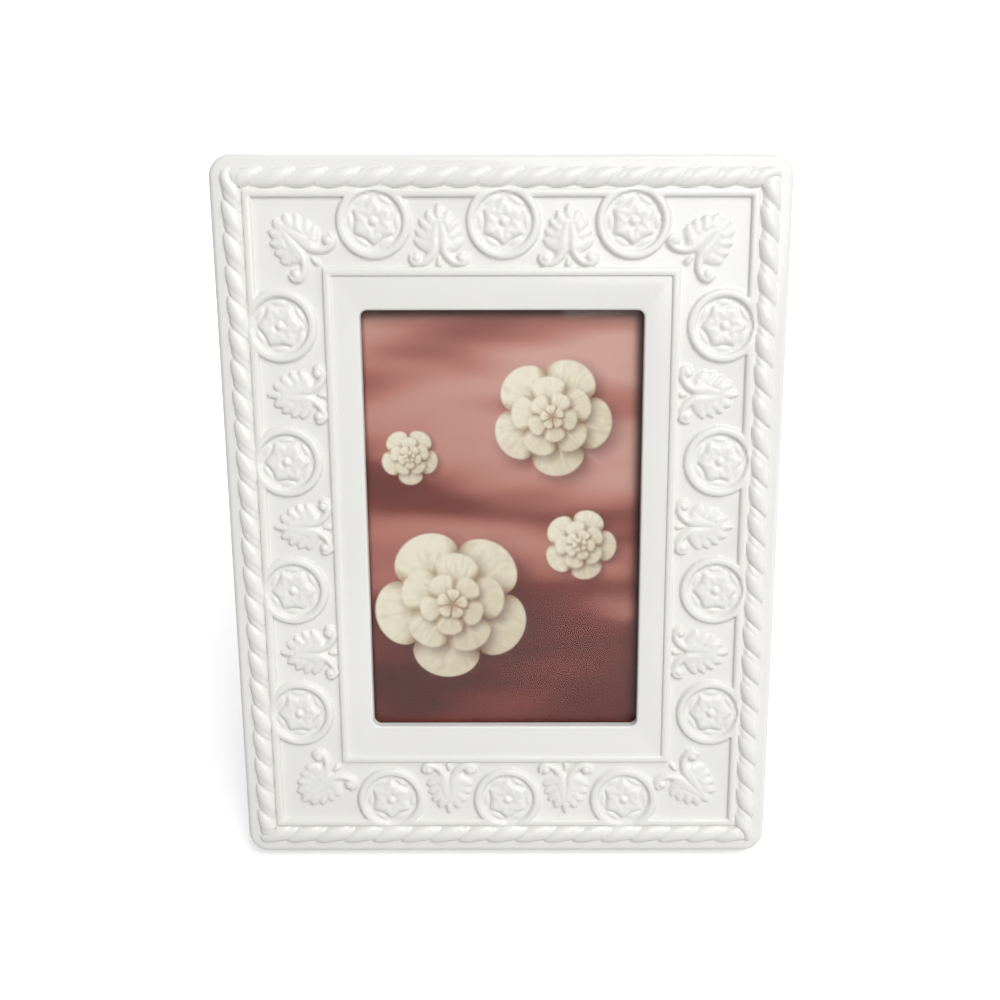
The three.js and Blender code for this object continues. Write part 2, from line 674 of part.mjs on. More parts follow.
function boardHinge() {
  const outer = [knucklePlaces[0], knucklePlaces[2]];
  const row = boardLeafRivetRow - HINGE_RISE;
  const leaf = hingeLeaf(outer, BOARD_LEAF_REACH, -knuckleRadius, row);
  const board = named('hinge_board_leaf', leaf, finishes.steel());
  const pinRod = rod(PIN_RADIUS, -HINGE_WIDTH / 2, HINGE_WIDTH / 2, ROUND_SIDES);
  const pin = named('hinge_pin', pinRod.rotateZ(Math.PI / 2), finishes.steel());
  for (const mesh of [board, pin]) mesh.position.set(0, hingeDepth, HINGE_RISE);
  const rivets = rivetColumns.map((x, i) => {
    const name = `board_leaf_rivet_${i + 1}`;
    return boardRivet(name, x, boardLeafRivetRow, leafRivet, LEAF_THICKNESS, finishes.steel());
  });
  return [board, pin, ...rivets];
}

// STRUT

// Depths across the strut, from the pin: inner velvet, board, outer velvet, hinge leaf
const leafDepth = knuckleRadius - LEAF_THICKNESS;
const outerVelvetDepth = leafDepth - SEAT_GAP - STRUT_VELVET;
const strutBoardDepth = outerVelvetDepth - SEAT_GAP - STRUT_THICKNESS;
const innerVelvetDepth = strutBoardDepth - SEAT_GAP - STRUT_VELVET;
const strutTop = -(knuckleRadius + STRUT_TOP_GAP);
const strutRivetRow = -(knuckleRadius + STRUT_LEAF_REACH) / 2;
const ribbonStrutRow = RIBBON_TAB / 2 - RIBBON_REACH;

// The strut's foot is cut level with the table when the strut is open
const footAt = (depth) => -(hingeHeight + depth * Math.sin(strutTilt)) / Math.cos(strutTilt);

function strutPlate(depth, thickness, setback) {
  const length = strutTop - footAt(0);
  const top = HINGE_WIDTH / 2 + STRUT_SHOULDER;
  const foot = STRUT_FOOT_WIDTH / 2;
  const shape = new THREE.Shape();
  shape.moveTo(-foot, -length);
  shape.lineTo(foot, -length);
  shape.absarc(top - STRUT_CORNER, -STRUT_CORNER, STRUT_CORNER, 0, Math.PI / 2);
  shape.absarc(STRUT_CORNER - top, -STRUT_CORNER, STRUT_CORNER, Math.PI / 2, Math.PI);
  const small = RIVET_SHANK + RUNNING_GAP;
  const leafRivets = rivetColumns.map((x) => ({ x, z: strutRivetRow - strutTop, radius: small }));
  punch(shape, [...leafRivets, { x: 0, z: ribbonStrutRow - strutTop, radius: small }]);
  const geometry = plate(shape, depth, thickness);
  const place = geometry.attributes.position;
  for (let i = 0; i < place.count; i += 1) {
    const atFoot = place.getZ(i) < -length + STRUT_CORNER;
    const level = footAt(place.getY(i)) + setback;
    place.setZ(i, atFoot ? level : place.getZ(i) + strutTop);
  }
  return geometry;
}

function strut() {
  const group = new THREE.Group();
  group.position.set(0, hingeDepth, HINGE_RISE);
  group.rotation.x = STRUT_ANGLE;
  const board = strutPlate(strutBoardDepth, STRUT_THICKNESS, 0);
  const outer = strutPlate(outerVelvetDepth, STRUT_VELVET, VELVET_SETBACK);
  const inner = strutPlate(innerVelvetDepth, STRUT_VELVET, VELVET_SETBACK);
  const leaf = hingeLeaf([knucklePlaces[1]], -STRUT_LEAF_REACH, leafDepth, strutRivetRow);
  group.add(named('strut_board', board, finishes.board()));
  group.add(named('strut_outer_velvet', outer, finishes.velvet()));
  group.add(named('strut_inner_velvet', inner, finishes.velvet()));
  group.add(named('hinge_strut_leaf', leaf, finishes.steel()));
  rivetColumns.forEach((x, i) => {
    const start = strutBoardDepth + SEAT_GAP;
    const seat = knuckleRadius + SEAT_GAP;
    const geometry = rivet(leafRivet, seat - start);
    const mesh = named(`strut_leaf_rivet_${i + 1}`, geometry, finishes.steel());
    mesh.position.set(x, start, strutRivetRow);
    group.add(mesh);
  });
  const start = outerVelvetDepth - 2 * SEAT_GAP;
  const seat = innerVelvetDepth - RIBBON_THICKNESS - 2 * SEAT_GAP;
  const ribbonRivet = rivet(leafRivet, start - seat).rotateX(Math.PI);
  const mesh = named('ribbon_strut_rivet', ribbonRivet, finishes.brass());
  mesh.position.set(0, start, ribbonStrutRow);
  group.add(mesh);
  return group;
}

// STAY RIBBON

// Thickens a line of points into a closed outline, with mitred bends
function thicken(points, thickness) {
  const normals = points.slice(1).map((point, i) => {
    const along = point.clone().sub(points[i]).normalize();
    return new THREE.Vector2(-along.y, along.x);
  });
  const offset = (side) => points.map((point, i) => {
    const before = normals[Math.max(0, i - 1)];
    const after = normals[Math.min(normals.length - 1, i)];
    const mitre = before.clone().add(after).normalize();
    return point.clone().addScaledVector(mitre, (side * thickness) / 2 / mitre.dot(after));
  });
  return [...offset(1), ...offset(-1).reverse()];
}

// The ribbon lies on the board, runs taut to the strut and lies on the strut's inner face
function stayRibbon() {
  const boardFace = fittingFront + RIBBON_THICKNESS / 2;
  const strutFace = innerVelvetDepth - SEAT_GAP - RIBBON_THICKNESS / 2;
  const pin = new THREE.Vector2(hingeDepth, HINGE_RISE);
  const onStrut = (distance) => {
    const point = new THREE.Vector2(strutFace, -distance).add(pin);
    return point.rotateAround(pin, STRUT_ANGLE);
  };
  const route = [
    new THREE.Vector2(boardFace, HINGE_RISE - RIBBON_REACH - RIBBON_TAB),
    new THREE.Vector2(boardFace, HINGE_RISE - RIBBON_REACH),
    onStrut(RIBBON_REACH),
    onStrut(RIBBON_REACH - RIBBON_TAB),
  ];
  const outline = thicken(route, RIBBON_THICKNESS);
  const options = { depth: RIBBON_WIDTH, bevelEnabled: false };
  const band = new THREE.ExtrudeGeometry(new THREE.Shape(outline), options);
  const toFrame = new THREE.Matrix4().makeBasis(
    new THREE.Vector3(0, 1, 0),
    new THREE.Vector3(0, 0, 1),
    new THREE.Vector3(1, 0, 0),
  );
  band.applyMatrix4(toFrame).translate(-RIBBON_WIDTH / 2, 0, 0);
  const hole = rod(RIVET_SHANK + RUNNING_GAP, -RIBBON_THICKNESS, RIBBON_THICKNESS);
  const boardHole = hole.clone().translate(0, boardFace, ribbonBoardRow);
  const strutHole = hole.clone().translate(0, strutFace, ribbonStrutRow);
  strutHole.rotateX(STRUT_ANGLE).translate(0, hingeDepth, HINGE_RISE);
  const geometry = geometryOf(cut(solid(band), [boardHole, strutHole]));
  return named('stay_ribbon', geometry, finishes.ribbon());
}

// ASSEMBLY

const leaning = new THREE.Group();
leaning.rotation.x = -LEAN;
leaning.position.z = originHeight;
leaning.add(named('porcelain_body', porcelainBody(), finishes.porcelain()));
leaning.add(...pictureStack(), ...backBoard(), ...turnButtons(), ...boardHinge());
const ribbonHeld = RIBBON_THICKNESS;
leaning.add(boardRivet('ribbon_board_rivet', 0, ribbonBoardRow, leafRivet, ribbonHeld, finishes.brass()));
leaning.add(strut(), stayRibbon());

// The origin is under the middle of the whole object
const frame = new THREE.Group();
frame.add(leaning);
const extent = new THREE.Box3().setFromObject(frame, true);
leaning.position.y = -(extent.min.y + extent.max.y) / 2;
frame.updateMatrixWorld(true);

export default frame;
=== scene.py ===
"""Looks of a porcelain picture frame: glazed relief, glass, a printed picture and a velvet easel back."""
import json
import math

import bpy
import numpy as np
from mathutils import Matrix, Vector


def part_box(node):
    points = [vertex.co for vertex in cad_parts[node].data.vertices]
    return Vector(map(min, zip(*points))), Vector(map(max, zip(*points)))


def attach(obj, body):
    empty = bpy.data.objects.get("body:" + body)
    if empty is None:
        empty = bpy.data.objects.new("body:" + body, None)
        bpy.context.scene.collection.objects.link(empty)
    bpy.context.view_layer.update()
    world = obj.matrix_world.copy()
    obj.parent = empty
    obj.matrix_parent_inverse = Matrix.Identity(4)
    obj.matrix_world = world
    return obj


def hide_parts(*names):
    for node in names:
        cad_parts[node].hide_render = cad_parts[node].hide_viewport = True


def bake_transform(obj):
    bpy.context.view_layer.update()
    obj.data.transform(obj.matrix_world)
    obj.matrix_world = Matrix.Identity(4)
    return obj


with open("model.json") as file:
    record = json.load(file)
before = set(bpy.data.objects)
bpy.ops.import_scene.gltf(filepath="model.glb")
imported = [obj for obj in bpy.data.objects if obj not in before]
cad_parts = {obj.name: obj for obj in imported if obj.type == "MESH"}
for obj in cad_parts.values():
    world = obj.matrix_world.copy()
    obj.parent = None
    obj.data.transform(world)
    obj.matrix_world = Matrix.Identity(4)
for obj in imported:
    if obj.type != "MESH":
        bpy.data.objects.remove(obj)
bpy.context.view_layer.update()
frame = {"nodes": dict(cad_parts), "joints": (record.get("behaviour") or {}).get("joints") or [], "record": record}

# Sizes are in millimetres, and metres in Blender
MM = 0.001

# Porcelain front, half sizes and widths from the window outwards
WINDOW = (48.0, 75.0)
WINDOW_RADIUS = 2.5
WINDOW_EASE = 0.8
BORDER = (57.0, 86.2)
LIST_WIDTH = 3.0
LIST_RADIUS = 0.6
PANEL_WIDTH = 22.4
ROPE_WIDTH = 6.9
RIM_FLAT = 2.0
RIM_ROUND = 2.0

# Porcelain depths, back from the tops of the raised lists
BORDER_DROP = 0.9
PANEL_DROP = 1.5
RIM_DROP = 1.2
LIP_REAR = 4.5
LEDGE = 8.8
FRAME_DEPTH = 18.0

# Porcelain skirt and back
SKIRT_FLARE = 0.6
SKIRT_WALL = 6.2
REAR_EASE = 1.0
RECESS_RADIUS = 4.0
REBATE = (51.7, 77.1)
REBATE_RADIUS = 0.6

# Rope moulding
ROPE_RISE = 2.1
ROPE_GROOVE = 0.32
ROPE_DIP = 0.4
ROPE_STRANDS = (16, 22)
ROPE_LAY = 0.89
ROPE_FULLNESS = 0.6
ROPE_THREAD = 0.24
ROPE_THREAD_RISE = 0.45
ROPE_INNER_RADIUS = 0.8
ROPE_OUTER_RADIUS = 3.4

# Medallions
RING_RADIUS = 12.4
RING_BAND = 2.9
RING_RISE = 1.5
RING_OVERHANG = 1.8
RING_FADE = (8.8, 11.4)
RING_FADE_SHARE = 0.5
END_PITCH = 43.0
END_OFFSET = 0.7
SIDE_PITCH = 46.5

# Rosettes: petals with seams between them and veins along them, spokes, a moat, sepals and a boss
PETALS = 6
ROSETTE_TIP = 8.9
ROSETTE_NOTCH = 6.3
ROSETTE_RADIUS = 7.9
ROSETTE_RISE = 1.5
ROSETTE_FALL = 1.3
PETAL_EDGE = 1.9
PETAL_ROUND = 0.8
PETAL_ROOT = 0.7
SEAM_WIDTH = 0.5
SEAM_DEPTH = 0.25
SEAM_START = (3.6, 5.0)
VEIN_WIDTH = 0.45
VEIN_DEPTH = 0.12
VEIN_START = (2.4, 3.2)
SPOKE_RISE = 0.12
SPOKE_END = (3.2, 4.8)
MOAT_RADIUS = 2.0
MOAT_WIDTH = 0.45
MOAT_DEPTH = 0.3
SEPAL_RADIUS = 7.7
SEPAL_SIZE = (2.4, 0.85)
SEPAL_RISE = 0.55
BOSS_RADIUS = 1.6
BOSS_RISE = 2.0

# Acanthus palmettes: lobe tips, dish and scroll of one half, across and along the leaf
LOBE_TIPS = ((8.3, 8.9), (7.7, 12.1), (6.2, 15.3), (3.7, 18.1))
LOBE_WIDTH = 2.45
LEAF_TIP_WIDTH = 1.6
LOBE_TIP_RISE = 1.1
LOBE_ROOT = (0.28, 0.64)
LOBE_ROOT_RISE = 1.0
LOBE_FULLNESS = 2.5
LEAF_TIP = 20.6
LEAF_RISE = 1.5
BLADE_FOOT = (2.3, 6.6)
BLADE_TOP = (0.6, 14.6)
BLADE_RADII = (2.9, 2.0)
BLADE_RISE = 1.45
DISH_MIDDLE = (8.4, 9.6)
DISH_RADIUS = 5.2
DISH_EDGE = 0.9
DISH_DEPTH = 0.25
SCROLL_BALL = (7.5, 2.9)
SCROLL_RADIUS = 1.8
SCROLL_TURN = 1.2
BALL_RADIUS = 1.85
BALL_RISE = 1.9
BUD_FOOT = (0.0, 1.1)
BUD_TOP = (0.0, 2.6)
BUD_RADII = (1.15, 0.7)
BUD_RISE = 1.2
STEM_TOP = (1.3, 8.2)
STEM_WIDTHS = (1.6, 0.8)
CORNER_OFFSET = 1.4
CORNER_SCALE = 1.04
CORNER_TIP = 19.6
CORNER_TIP_WIDTH = 2.5

# Sampling of the porcelain surface
SIDE_SAMPLES = (310, 420)
CORNER_SAMPLES = 9
PLAIN_SIDE_SAMPLES = (6, 8)
PANEL_STEPS = 50
LIST_STEPS = 7
ROPE_STEPS = 17
SUPPORT = 0.4

# Stack behind the window, back from the tops of the lists
GLASS_MIDDLE = 5.8
BOARD_REAR = 12.1
VELVET_REAR = 13.1
FITTING_FRONT = 13.4
BOARD_CLEARANCE = 0.7
VELVET_EASE = 0.45

# Print, across and up from its middle: blossoms by place, radius and turn, and the shares of their layers
BLOSSOMS = (
    ((17.0, 38.0), 21.0, 0.4),
    ((-19.0, -30.0), 28.0, 1.1),
    ((27.0, -8.0), 13.0, 0.1),
    ((-33.0, 24.0), 10.0, 0.7),
)
PETAL_LAYERS = (1.0, 0.68, 0.42, 0.2)

# Painted shadow of the porcelain lip on the print's edges: where each starts and ends, and how dark it gets
LIP_SHADE_TOP = (70.5, 74.7, 0.93)
LIP_SHADE_FOOT = (-74.6, -76.0, 0.5)
LIP_SHADE_RIGHT = (44.2, 48.2, 0.8)
LIP_SHADE_LEFT = (-46.7, -48.4, 0.5)

# Turn buttons and their slots in the porcelain
BUTTON_WIDTH = 9.0
BUTTON_THICKNESS = 1.0
BUTTON_SETBACK = 10.5
BUTTON_ENGAGE = 2.5
BUTTON_CORNER_SPAN = 42.7
SLOT_CLEARANCE = 0.7
BUTTON_EASE = 0.25
BEAD_START = 4.4
BEAD_END = 10.4
BEAD_HALF = 0.9
BEAD_ROOT = 0.4
BEAD_RISE = 0.3
ROUND_END = 0.01  # what an arc of a round end leaves of its straight sides

# Rivets: radii of shank and head, and where the shanks start in the back board and in the strut
RIVET = (1.1, 2.3)
BUTTON_RIVET = (1.5, 3.1)
RIVET_CROWN = 0.9
RIVET_RIM = 0.22
RIVET_EASE = 0.1
RIVET_TOP = 0.02
BOARD_RIVET_START = 9.4
STRUT_RIVET_START = -0.4
FACE_GAP = 0.3

# Hinge
HINGE_RISE = 37.0
HINGE_WIDTH = 40.0
HINGE_LEAF = 0.8
LEAF_CORNER = 1.25
LEAF_EASE = 0.12
BOARD_LEAF_REACH = 13.0
STRUT_LEAF_REACH = 18.0
PIN_RADIUS = 0.9
PIN_END = ((0.05, 0.0), (0.63, 0.1), (PIN_RADIUS, 0.4))
BORE_RADIUS = 1.2
KNUCKLE_RADIUS = 2.5
KNUCKLE_GAP = 0.4
KNUCKLE_EASE = 0.2
RIVET_EDGE = 6.0

# Strut, with depths from the hinge pin
STRUT_ANGLE = math.radians(26.0)
STRUT_TOP_HALF = 22.0
STRUT_FOOT_HALF = 31.0
STRUT_CORNER = 4.0
STRUT_BOARD_FRONT = -1.5
STRUT_BOARD_REAR = 0.7
STRUT_NAP = 0.7
STRUT_TOP = -3.3
FOOT_CORNER = 0.5
NAP_SETBACK = 0.6
NAP_EASE = 0.3

# Stay ribbon
RIBBON_WIDTH = 10.0
RIBBON_THICKNESS = 0.4
RIBBON_REACH = 95.0
RIBBON_TAB = 10.0
RIBBON_SINK = 0.1
RIBBON_BEND = 3.0
RIBBON_EDGE = 0.19
RIBBON_STEP = 1.0

# Camera, measured from the frame's middle along its own axes
LENS_MM = 39.64
SENSOR_MM = 36.0
LENS_SHIFT = -0.035
CAMERA_TURN = (0.2175, 0.0, -0.001)
CAMERA_OFFSET = (-11.003, 9.714, 385.05)

# Lamps, in metres and watts: the way from the frame's middle, the distance, the width and the power
FRONT_LAMP = ((0.42, -0.92, 0.78), 1.45, 1.25, 12.4)
GLINT_LAMP = ((0.2, -0.5, 0.95), 1.4, 0.16, 1.8)
BACK_LAMP = ((0.1, 1.0, 0.25), 1.5, 1.2, 8.0)

# World and floor: the way of the most light and its strength, and the floor's size, shades and glow
WORLD_SIDE = (0.9, -0.42, 0.1)
WORLD_STRENGTH = 0.72
FLOOR_REACH = 12.0
FLOOR_SHADES = (0.4, 0.95)
# The floor's glow near and far, and the distances over which it rises: painted dimmer near the frame, a painted
# shade that deepens its shadow
FLOOR_GLOW = (0.4, 0.8)
FLOOR_GLOW_REACH = (0.1, 0.6)

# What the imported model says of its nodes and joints
record = frame["record"]
joints = {joint["name"]: joint for joint in frame["joints"]}
slot_of = {row["node"]: row["material_slot"] for row in record["subparts"]}
body_of = {node: body for body, nodes in record["behaviour"]["bodies"].items() for node in nodes}


# AXES AND SMALL HELPERS


class Axes:
    """Right, back and up directions from a point of the shared frame, with sizes in millimetres."""

    def __init__(self, origin, right, back):
        self.origin = Vector(origin)
        self.right = Vector(right).normalized()
        self.back = Vector(back).normalized()
        self.up = self.right.cross(self.back)

    def point(self, right, back, up):
        return self.origin + (self.right * right + self.back * back + self.up * up) * MM

    def points(self, right, back, up):
        """Many points at once, one row each."""
        columns = [column.ravel() for column in np.broadcast_arrays(right, back, up)]
        rows = np.stack(columns, -1).astype(float)
        return rows @ np.array([self.right, self.back, self.up]) * MM + np.array(self.origin)

    def at(self, right, back, up):
        """The same directions from another point."""
        return Axes(self.point(right, back, up), self.right, self.back)

    def reversed(self):
        """The same point seen from behind."""
        return Axes(self.origin, -self.right, -self.back)


RIGHT = Vector((1.0, 0.0, 0.0))
leaning_back = Vector(joints["button_turn_2"]["axis"]).normalized()
glass_low, glass_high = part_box("glass_pane")
FRONT = Axes((glass_low + glass_high) / 2 - leaning_back * GLASS_MIDDLE * MM, RIGHT, leaning_back)
LEAN = math.atan2(-FRONT.back.z, FRONT.back.y)
HINGE = Vector(joints["strut_fold"]["pos_m"])
strut_back = FRONT.back * math.cos(STRUT_ANGLE) + FRONT.up * math.sin(STRUT_ANGLE)
STRUT = Axes(HINGE, RIGHT, strut_back)
BARREL = Axes(HINGE, FRONT.up, RIGHT)


def grow(size, amount):
    return size[0] + amount, size[1] + amount


def mix(start, end, share):
    return start + (end - start) * share


def smooth_step(low, high, value):
    share = np.clip((value - low) / (high - low), 0.0, 1.0)
    return share * share * (3.0 - 2.0 * share)


def soft_max(first, second, softness):
    """The higher of two surfaces, joined by a fillet."""
    return 0.5 * (first + second + np.sqrt((first - second) ** 2 + softness**2))


def quarter(steps):
    """Angles from 0 to a right angle."""
    return [math.pi / 2 * step / steps for step in range(steps + 1)]


def rounding(radius, steps):
    """How far a quarter round stands in from each of its two sides, step by step."""
    return [(radius * (1.0 - math.cos(a)), radius * (1.0 - math.sin(a))) for a in quarter(steps)]


OUTER_LIST = LIST_WIDTH + PANEL_WIDTH  # from the border to the outer list
PANEL_INNER = grow(BORDER, LIST_WIDTH)
PANEL_OUTER = grow(PANEL_INNER, PANEL_WIDTH)
ROPE_INNER = grow(PANEL_OUTER, LIST_WIDTH)
RIM = grow(ROPE_INNER, ROPE_WIDTH + RIM_FLAT)
SIDE = grow(RIM, RIM_ROUND)
RECESS = grow(SIDE, -SKIRT_WALL)
BOARD = grow(RECESS, -BOARD_CLEARANCE)
BUTTON = (RECESS[0] - BUTTON_SETBACK, RECESS[1] - BUTTON_CORNER_SPAN)


# MESHES


def strip(first, second, slanted=False):
    """Quads between two closed loops of one count, or triangles that all slant one way."""
    quads = np.stack([first, np.roll(first, -1), np.roll(second, -1), second], -1)
    if slanted:
        return quads[:, [0, 1, 2]].tolist() + quads[:, [0, 2, 3]].tolist()
    return quads.tolist()


def loft(loops, closed=False):
    """Vertices and faces through loops of points that run clockwise as seen from the front.

    The ends get caps unless the loft is closed on itself."""
    count = len(loops[0])
    rows = [np.arange(count) + count * i for i in range(len(loops))]
    faces = []
    for i in range(len(loops) - (0 if closed else 1)):
        faces += strip(rows[i], rows[(i + 1) % len(loops)])
    if not closed:
        faces.append(rows[0][::-1].tolist())
        faces.append(rows[-1].tolist())
    return np.concatenate(loops), faces


def turned(axes, profile, sides=32, closed=False):
    """A turned shape about the back axis. The profile gives radius and depth, from front to back."""
    angle = np.arange(sides) * 2 * math.pi / sides
    sine = np.sin(angle)
    cosine = np.cos(angle)
    loops = [axes.points(radius * sine, depth, radius * cosine) for radius, depth in profile]
    return loft(loops, closed)


def rounded(corners, steps=6, closed=True):
    """A line through (place, radius) corners with each corner turned into an arc."""
    places = [Vector(place) for place, radius in corners]
    points = []
    for i, (place, radius) in enumerate(corners):
        corner = Vector(place)
        at_end = not closed and i in (0, len(corners) - 1)
        if radius == 0.0 or at_end:
            points.append(corner)
            continue
        before = (places[i - 1] - corner).normalized()
        after = (places[(i + 1) % len(places)] - corner).normalized()
        half = before.angle(after) / 2
        middle = corner + (before + after).normalized() * (radius / math.sin(half))
        start = corner + before * (radius / math.tan(half)) - middle
        sweep = start.angle_signed(corner + after * (radius / math.tan(half)) - middle)
        for step in range(steps + 1):
            turn = Matrix.Rotation(-sweep * step / steps, 2)
            points.append(middle + turn @ start)
    return np.array([tuple(point) for point in points])


def mirrored(half):
    """A clockwise outline of (place, radius) corners, made from its left half."""
    return half + [((-x, y), radius) for (x, y), radius in reversed(half)]


def inset(outline, amount):
    """A clockwise outline moved inwards, with mitred corners."""
    along = np.roll(outline, -1, axis=0) - outline
    along /= np.linalg.norm(along, axis=1, keepdims=True)
    inward = np.stack([along[:, 1], -along[:, 0]], -1)
    mitre = inward + np.roll(inward, 1, axis=0)
    mitre /= np.linalg.norm(mitre, axis=1, keepdims=True)
    length = amount / np.maximum((mitre * inward).sum(1), 0.3)
    return outline + mitre * length[:, None]


def slab(axes, outline, front, rear, ease, steps=3):
    """A flat plate with rounded edges."""
    rows = [(front + depth, amount) for depth, amount in rounding(ease, steps)]
    rows += [(rear - depth, amount) for depth, amount in reversed(rounding(ease, steps))]
    loops = []
    for depth, amount in rows:
        line = inset(outline, amount)
        loops.append(axes.points(line[:, 0], depth, line[:, 1]))
    return loft(loops)


def add_object(name, data):
    made = bpy.data.objects.new(name, data)
    bpy.context.scene.collection.objects.link(made)
    return made


def add_mesh(name, vertices, faces):
    mesh = bpy.data.meshes.new(name)
    mesh.from_pydata(vertices, [], faces)
    return add_object(name, mesh)


def piece(name, shells, material, node, ride=True, sharp_degrees=40.0):
    """A mesh of one or more shells that stands in for a node of the model."""
    vertices = []
    faces = []
    for shell_vertices, shell_faces in shells:
        first = len(vertices)
        vertices += np.asarray(shell_vertices).tolist()
        faces += [[first + corner for corner in face] for face in shell_faces]
    made = add_mesh(name, vertices, faces)
    made.data.update()
    made.data.shade_smooth()
    made.data.set_sharp_from_angle(angle=math.radians(sharp_degrees))
    made.data.materials.append(material)
    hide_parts(node)
    if ride:
        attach(made, body_of[node])
    return made


# PORCELAIN RELIEF

OUTSIDE = -3.0  # relief where there is none, so that fillets stay near their ornament
FALL = 1.2  # how steeply relief falls away outside its edge
FILLET = 0.15
JOIN_FILLET = 0.1
ROSETTE_FILLET = 0.08
LOBE_FILLET = 0.06
REACH = 4.0  # how far beyond an ornament its relief is worked out
LEAF_BOX = (10.0, 22.6)  # half width and height that hold any leaf


def mound(distance, radius, rise, fullness=2.0):
    """A rounded ridge or knob over a line or point, falling away steadily outside.

    More fullness gives a flatter top and steeper sides."""
    share = distance / radius
    inside = rise * np.sqrt(np.clip(1.0 - share**fullness, 0.0, 1.0))
    return np.where(share < 1.0, inside, (1.0 - share) * radius * FALL)


def ridge(across, along, start, end, radii, rise):
    """A rounded ridge that tapers from one point to another."""
    step = (end[0] - start[0], end[1] - start[1])
    length = step[0] ** 2 + step[1] ** 2
    share = np.clip(((across - start[0]) * step[0] + (along - start[1]) * step[1]) / length, 0.0, 1.0)
    distance = np.hypot(across - start[0] - share * step[0], along - start[1] - share * step[1])
    return mound(distance, mix(*radii, share), rise)


def bell(value, width):
    return np.exp(-((value / width) ** 2))


def rosette_relief(across, out):
    """Six petals with hollow edges between their tips, sepals in the hollows, spokes and a boss."""
    radius = np.hypot(across, out)
    turn = np.arctan2(across, out) / (2 * math.pi) * PETALS
    sector = math.pi / PETALS
    from_notch = (turn - np.floor(turn) - 0.5) * 2 * sector
    along = radius * np.cos(from_notch)
    beside = radius * np.sin(from_notch)
    from_vein = radius * np.sin(sector - np.abs(from_notch))
    bite = ROSETTE_TIP * math.cos(sector) - ROSETTE_NOTCH
    hollow = (bite**2 + (ROSETTE_TIP * math.sin(sector)) ** 2) / (2 * bite)
    depth = np.hypot(along - ROSETTE_NOTCH - hollow, beside) - hollow
    depth = -soft_max(-depth, radius - ROSETTE_RADIUS, PETAL_ROUND)
    edge = np.sqrt(1.0 - (1.0 - np.clip(depth / PETAL_EDGE, 0.0, 1.0)) ** 2)
    seam = bell(beside, SEAM_WIDTH)
    vein = bell(from_vein, VEIN_WIDTH)
    petals = ROSETTE_RISE * edge * mix(PETAL_ROOT, 1.0, np.clip(radius / ROSETTE_NOTCH, 0.0, 1.0))
    petals = petals - SEAM_DEPTH * seam * smooth_step(*SEAM_START, radius) * edge
    petals = petals - VEIN_DEPTH * vein * smooth_step(*VEIN_START, radius) * edge
    petals = petals + SPOKE_RISE * seam * (1.0 - smooth_step(*SPOKE_END, radius))
    petals = petals - MOAT_DEPTH * bell(radius - MOAT_RADIUS, MOAT_WIDTH)
    petals = np.where(depth > 0.0, petals, ROSETTE_FALL * depth)
    from_sepal = np.hypot(beside / SEPAL_SIZE[0], (along - SEPAL_RADIUS) / SEPAL_SIZE[1])
    sepal = mound(from_sepal, 1.0, SEPAL_RISE)
    boss = mound(radius, BOSS_RADIUS, BOSS_RISE)
    return soft_max(soft_max(petals, sepal, ROSETTE_FILLET), boss, ROSETTE_FILLET)


def medallion_relief(across, out):
    """A rosette in a ring that opens where it meets the rope."""
    radius = np.hypot(across, out)
    ring = mound(np.abs(radius - RING_RADIUS + RING_BAND / 2), RING_BAND / 2, RING_RISE, 4.0)
    fade = 1.0 - RING_FADE_SHARE * smooth_step(*RING_FADE, out)
    ring = np.where(ring > 0.0, ring * fade, ring)
    return soft_max(rosette_relief(across, out), ring, JOIN_FILLET)


def stem_line(steps=9):
    """The middle of one stem: down beside the leaf's axis, out along the list and round the ball."""
    low = SCROLL_BALL[1] - SCROLL_RADIUS
    points = []
    for angle in reversed(quarter(steps)):
        across = mix(STEM_TOP[0], SCROLL_BALL[0], 1.0 - math.sin(angle))
        points.append((across, mix(low, STEM_TOP[1], 1.0 - math.cos(angle))))
    for angle in quarter(steps)[1:]:
        across = SCROLL_BALL[0] + SCROLL_RADIUS * math.sin(SCROLL_TURN * angle)
        points.append((across, SCROLL_BALL[1] - SCROLL_RADIUS * math.cos(SCROLL_TURN * angle)))
    return points


def lobe_relief(side, along, tip, widest):
    """One broad lobe, which grows out of the blade and ends in a blunt point."""
    root = (LOBE_ROOT[0] * tip[0], LOBE_ROOT_RISE + LOBE_ROOT[1] * tip[1])
    length = math.dist(root, tip)
    heading = ((tip[0] - root[0]) / length, (tip[1] - root[1]) / length)
    forward = ((side - root[0]) * heading[0] + (along - root[1]) * heading[1]) / length
    beside = np.abs((side - root[0]) * heading[1] - (along - root[1]) * heading[0])
    width = widest * np.maximum(1.0 - np.clip(forward, 0.0, 1.0) ** 3, 0.001) ** 0.67
    rise = mix(LEAF_RISE, LOBE_TIP_RISE, forward**2) * mix(0.6, 1.0, smooth_step(0.0, 0.4, forward))
    inside = rise * np.sqrt(np.clip(1.0 - (beside / width) ** LOBE_FULLNESS, 0.0, 1.0))
    past = np.maximum(np.abs(forward - 0.5) - 0.5, 0.0) * length
    away = np.hypot(past, np.maximum(beside - width, 0.0))
    return np.where(away > 0.0, -FALL * away, inside)


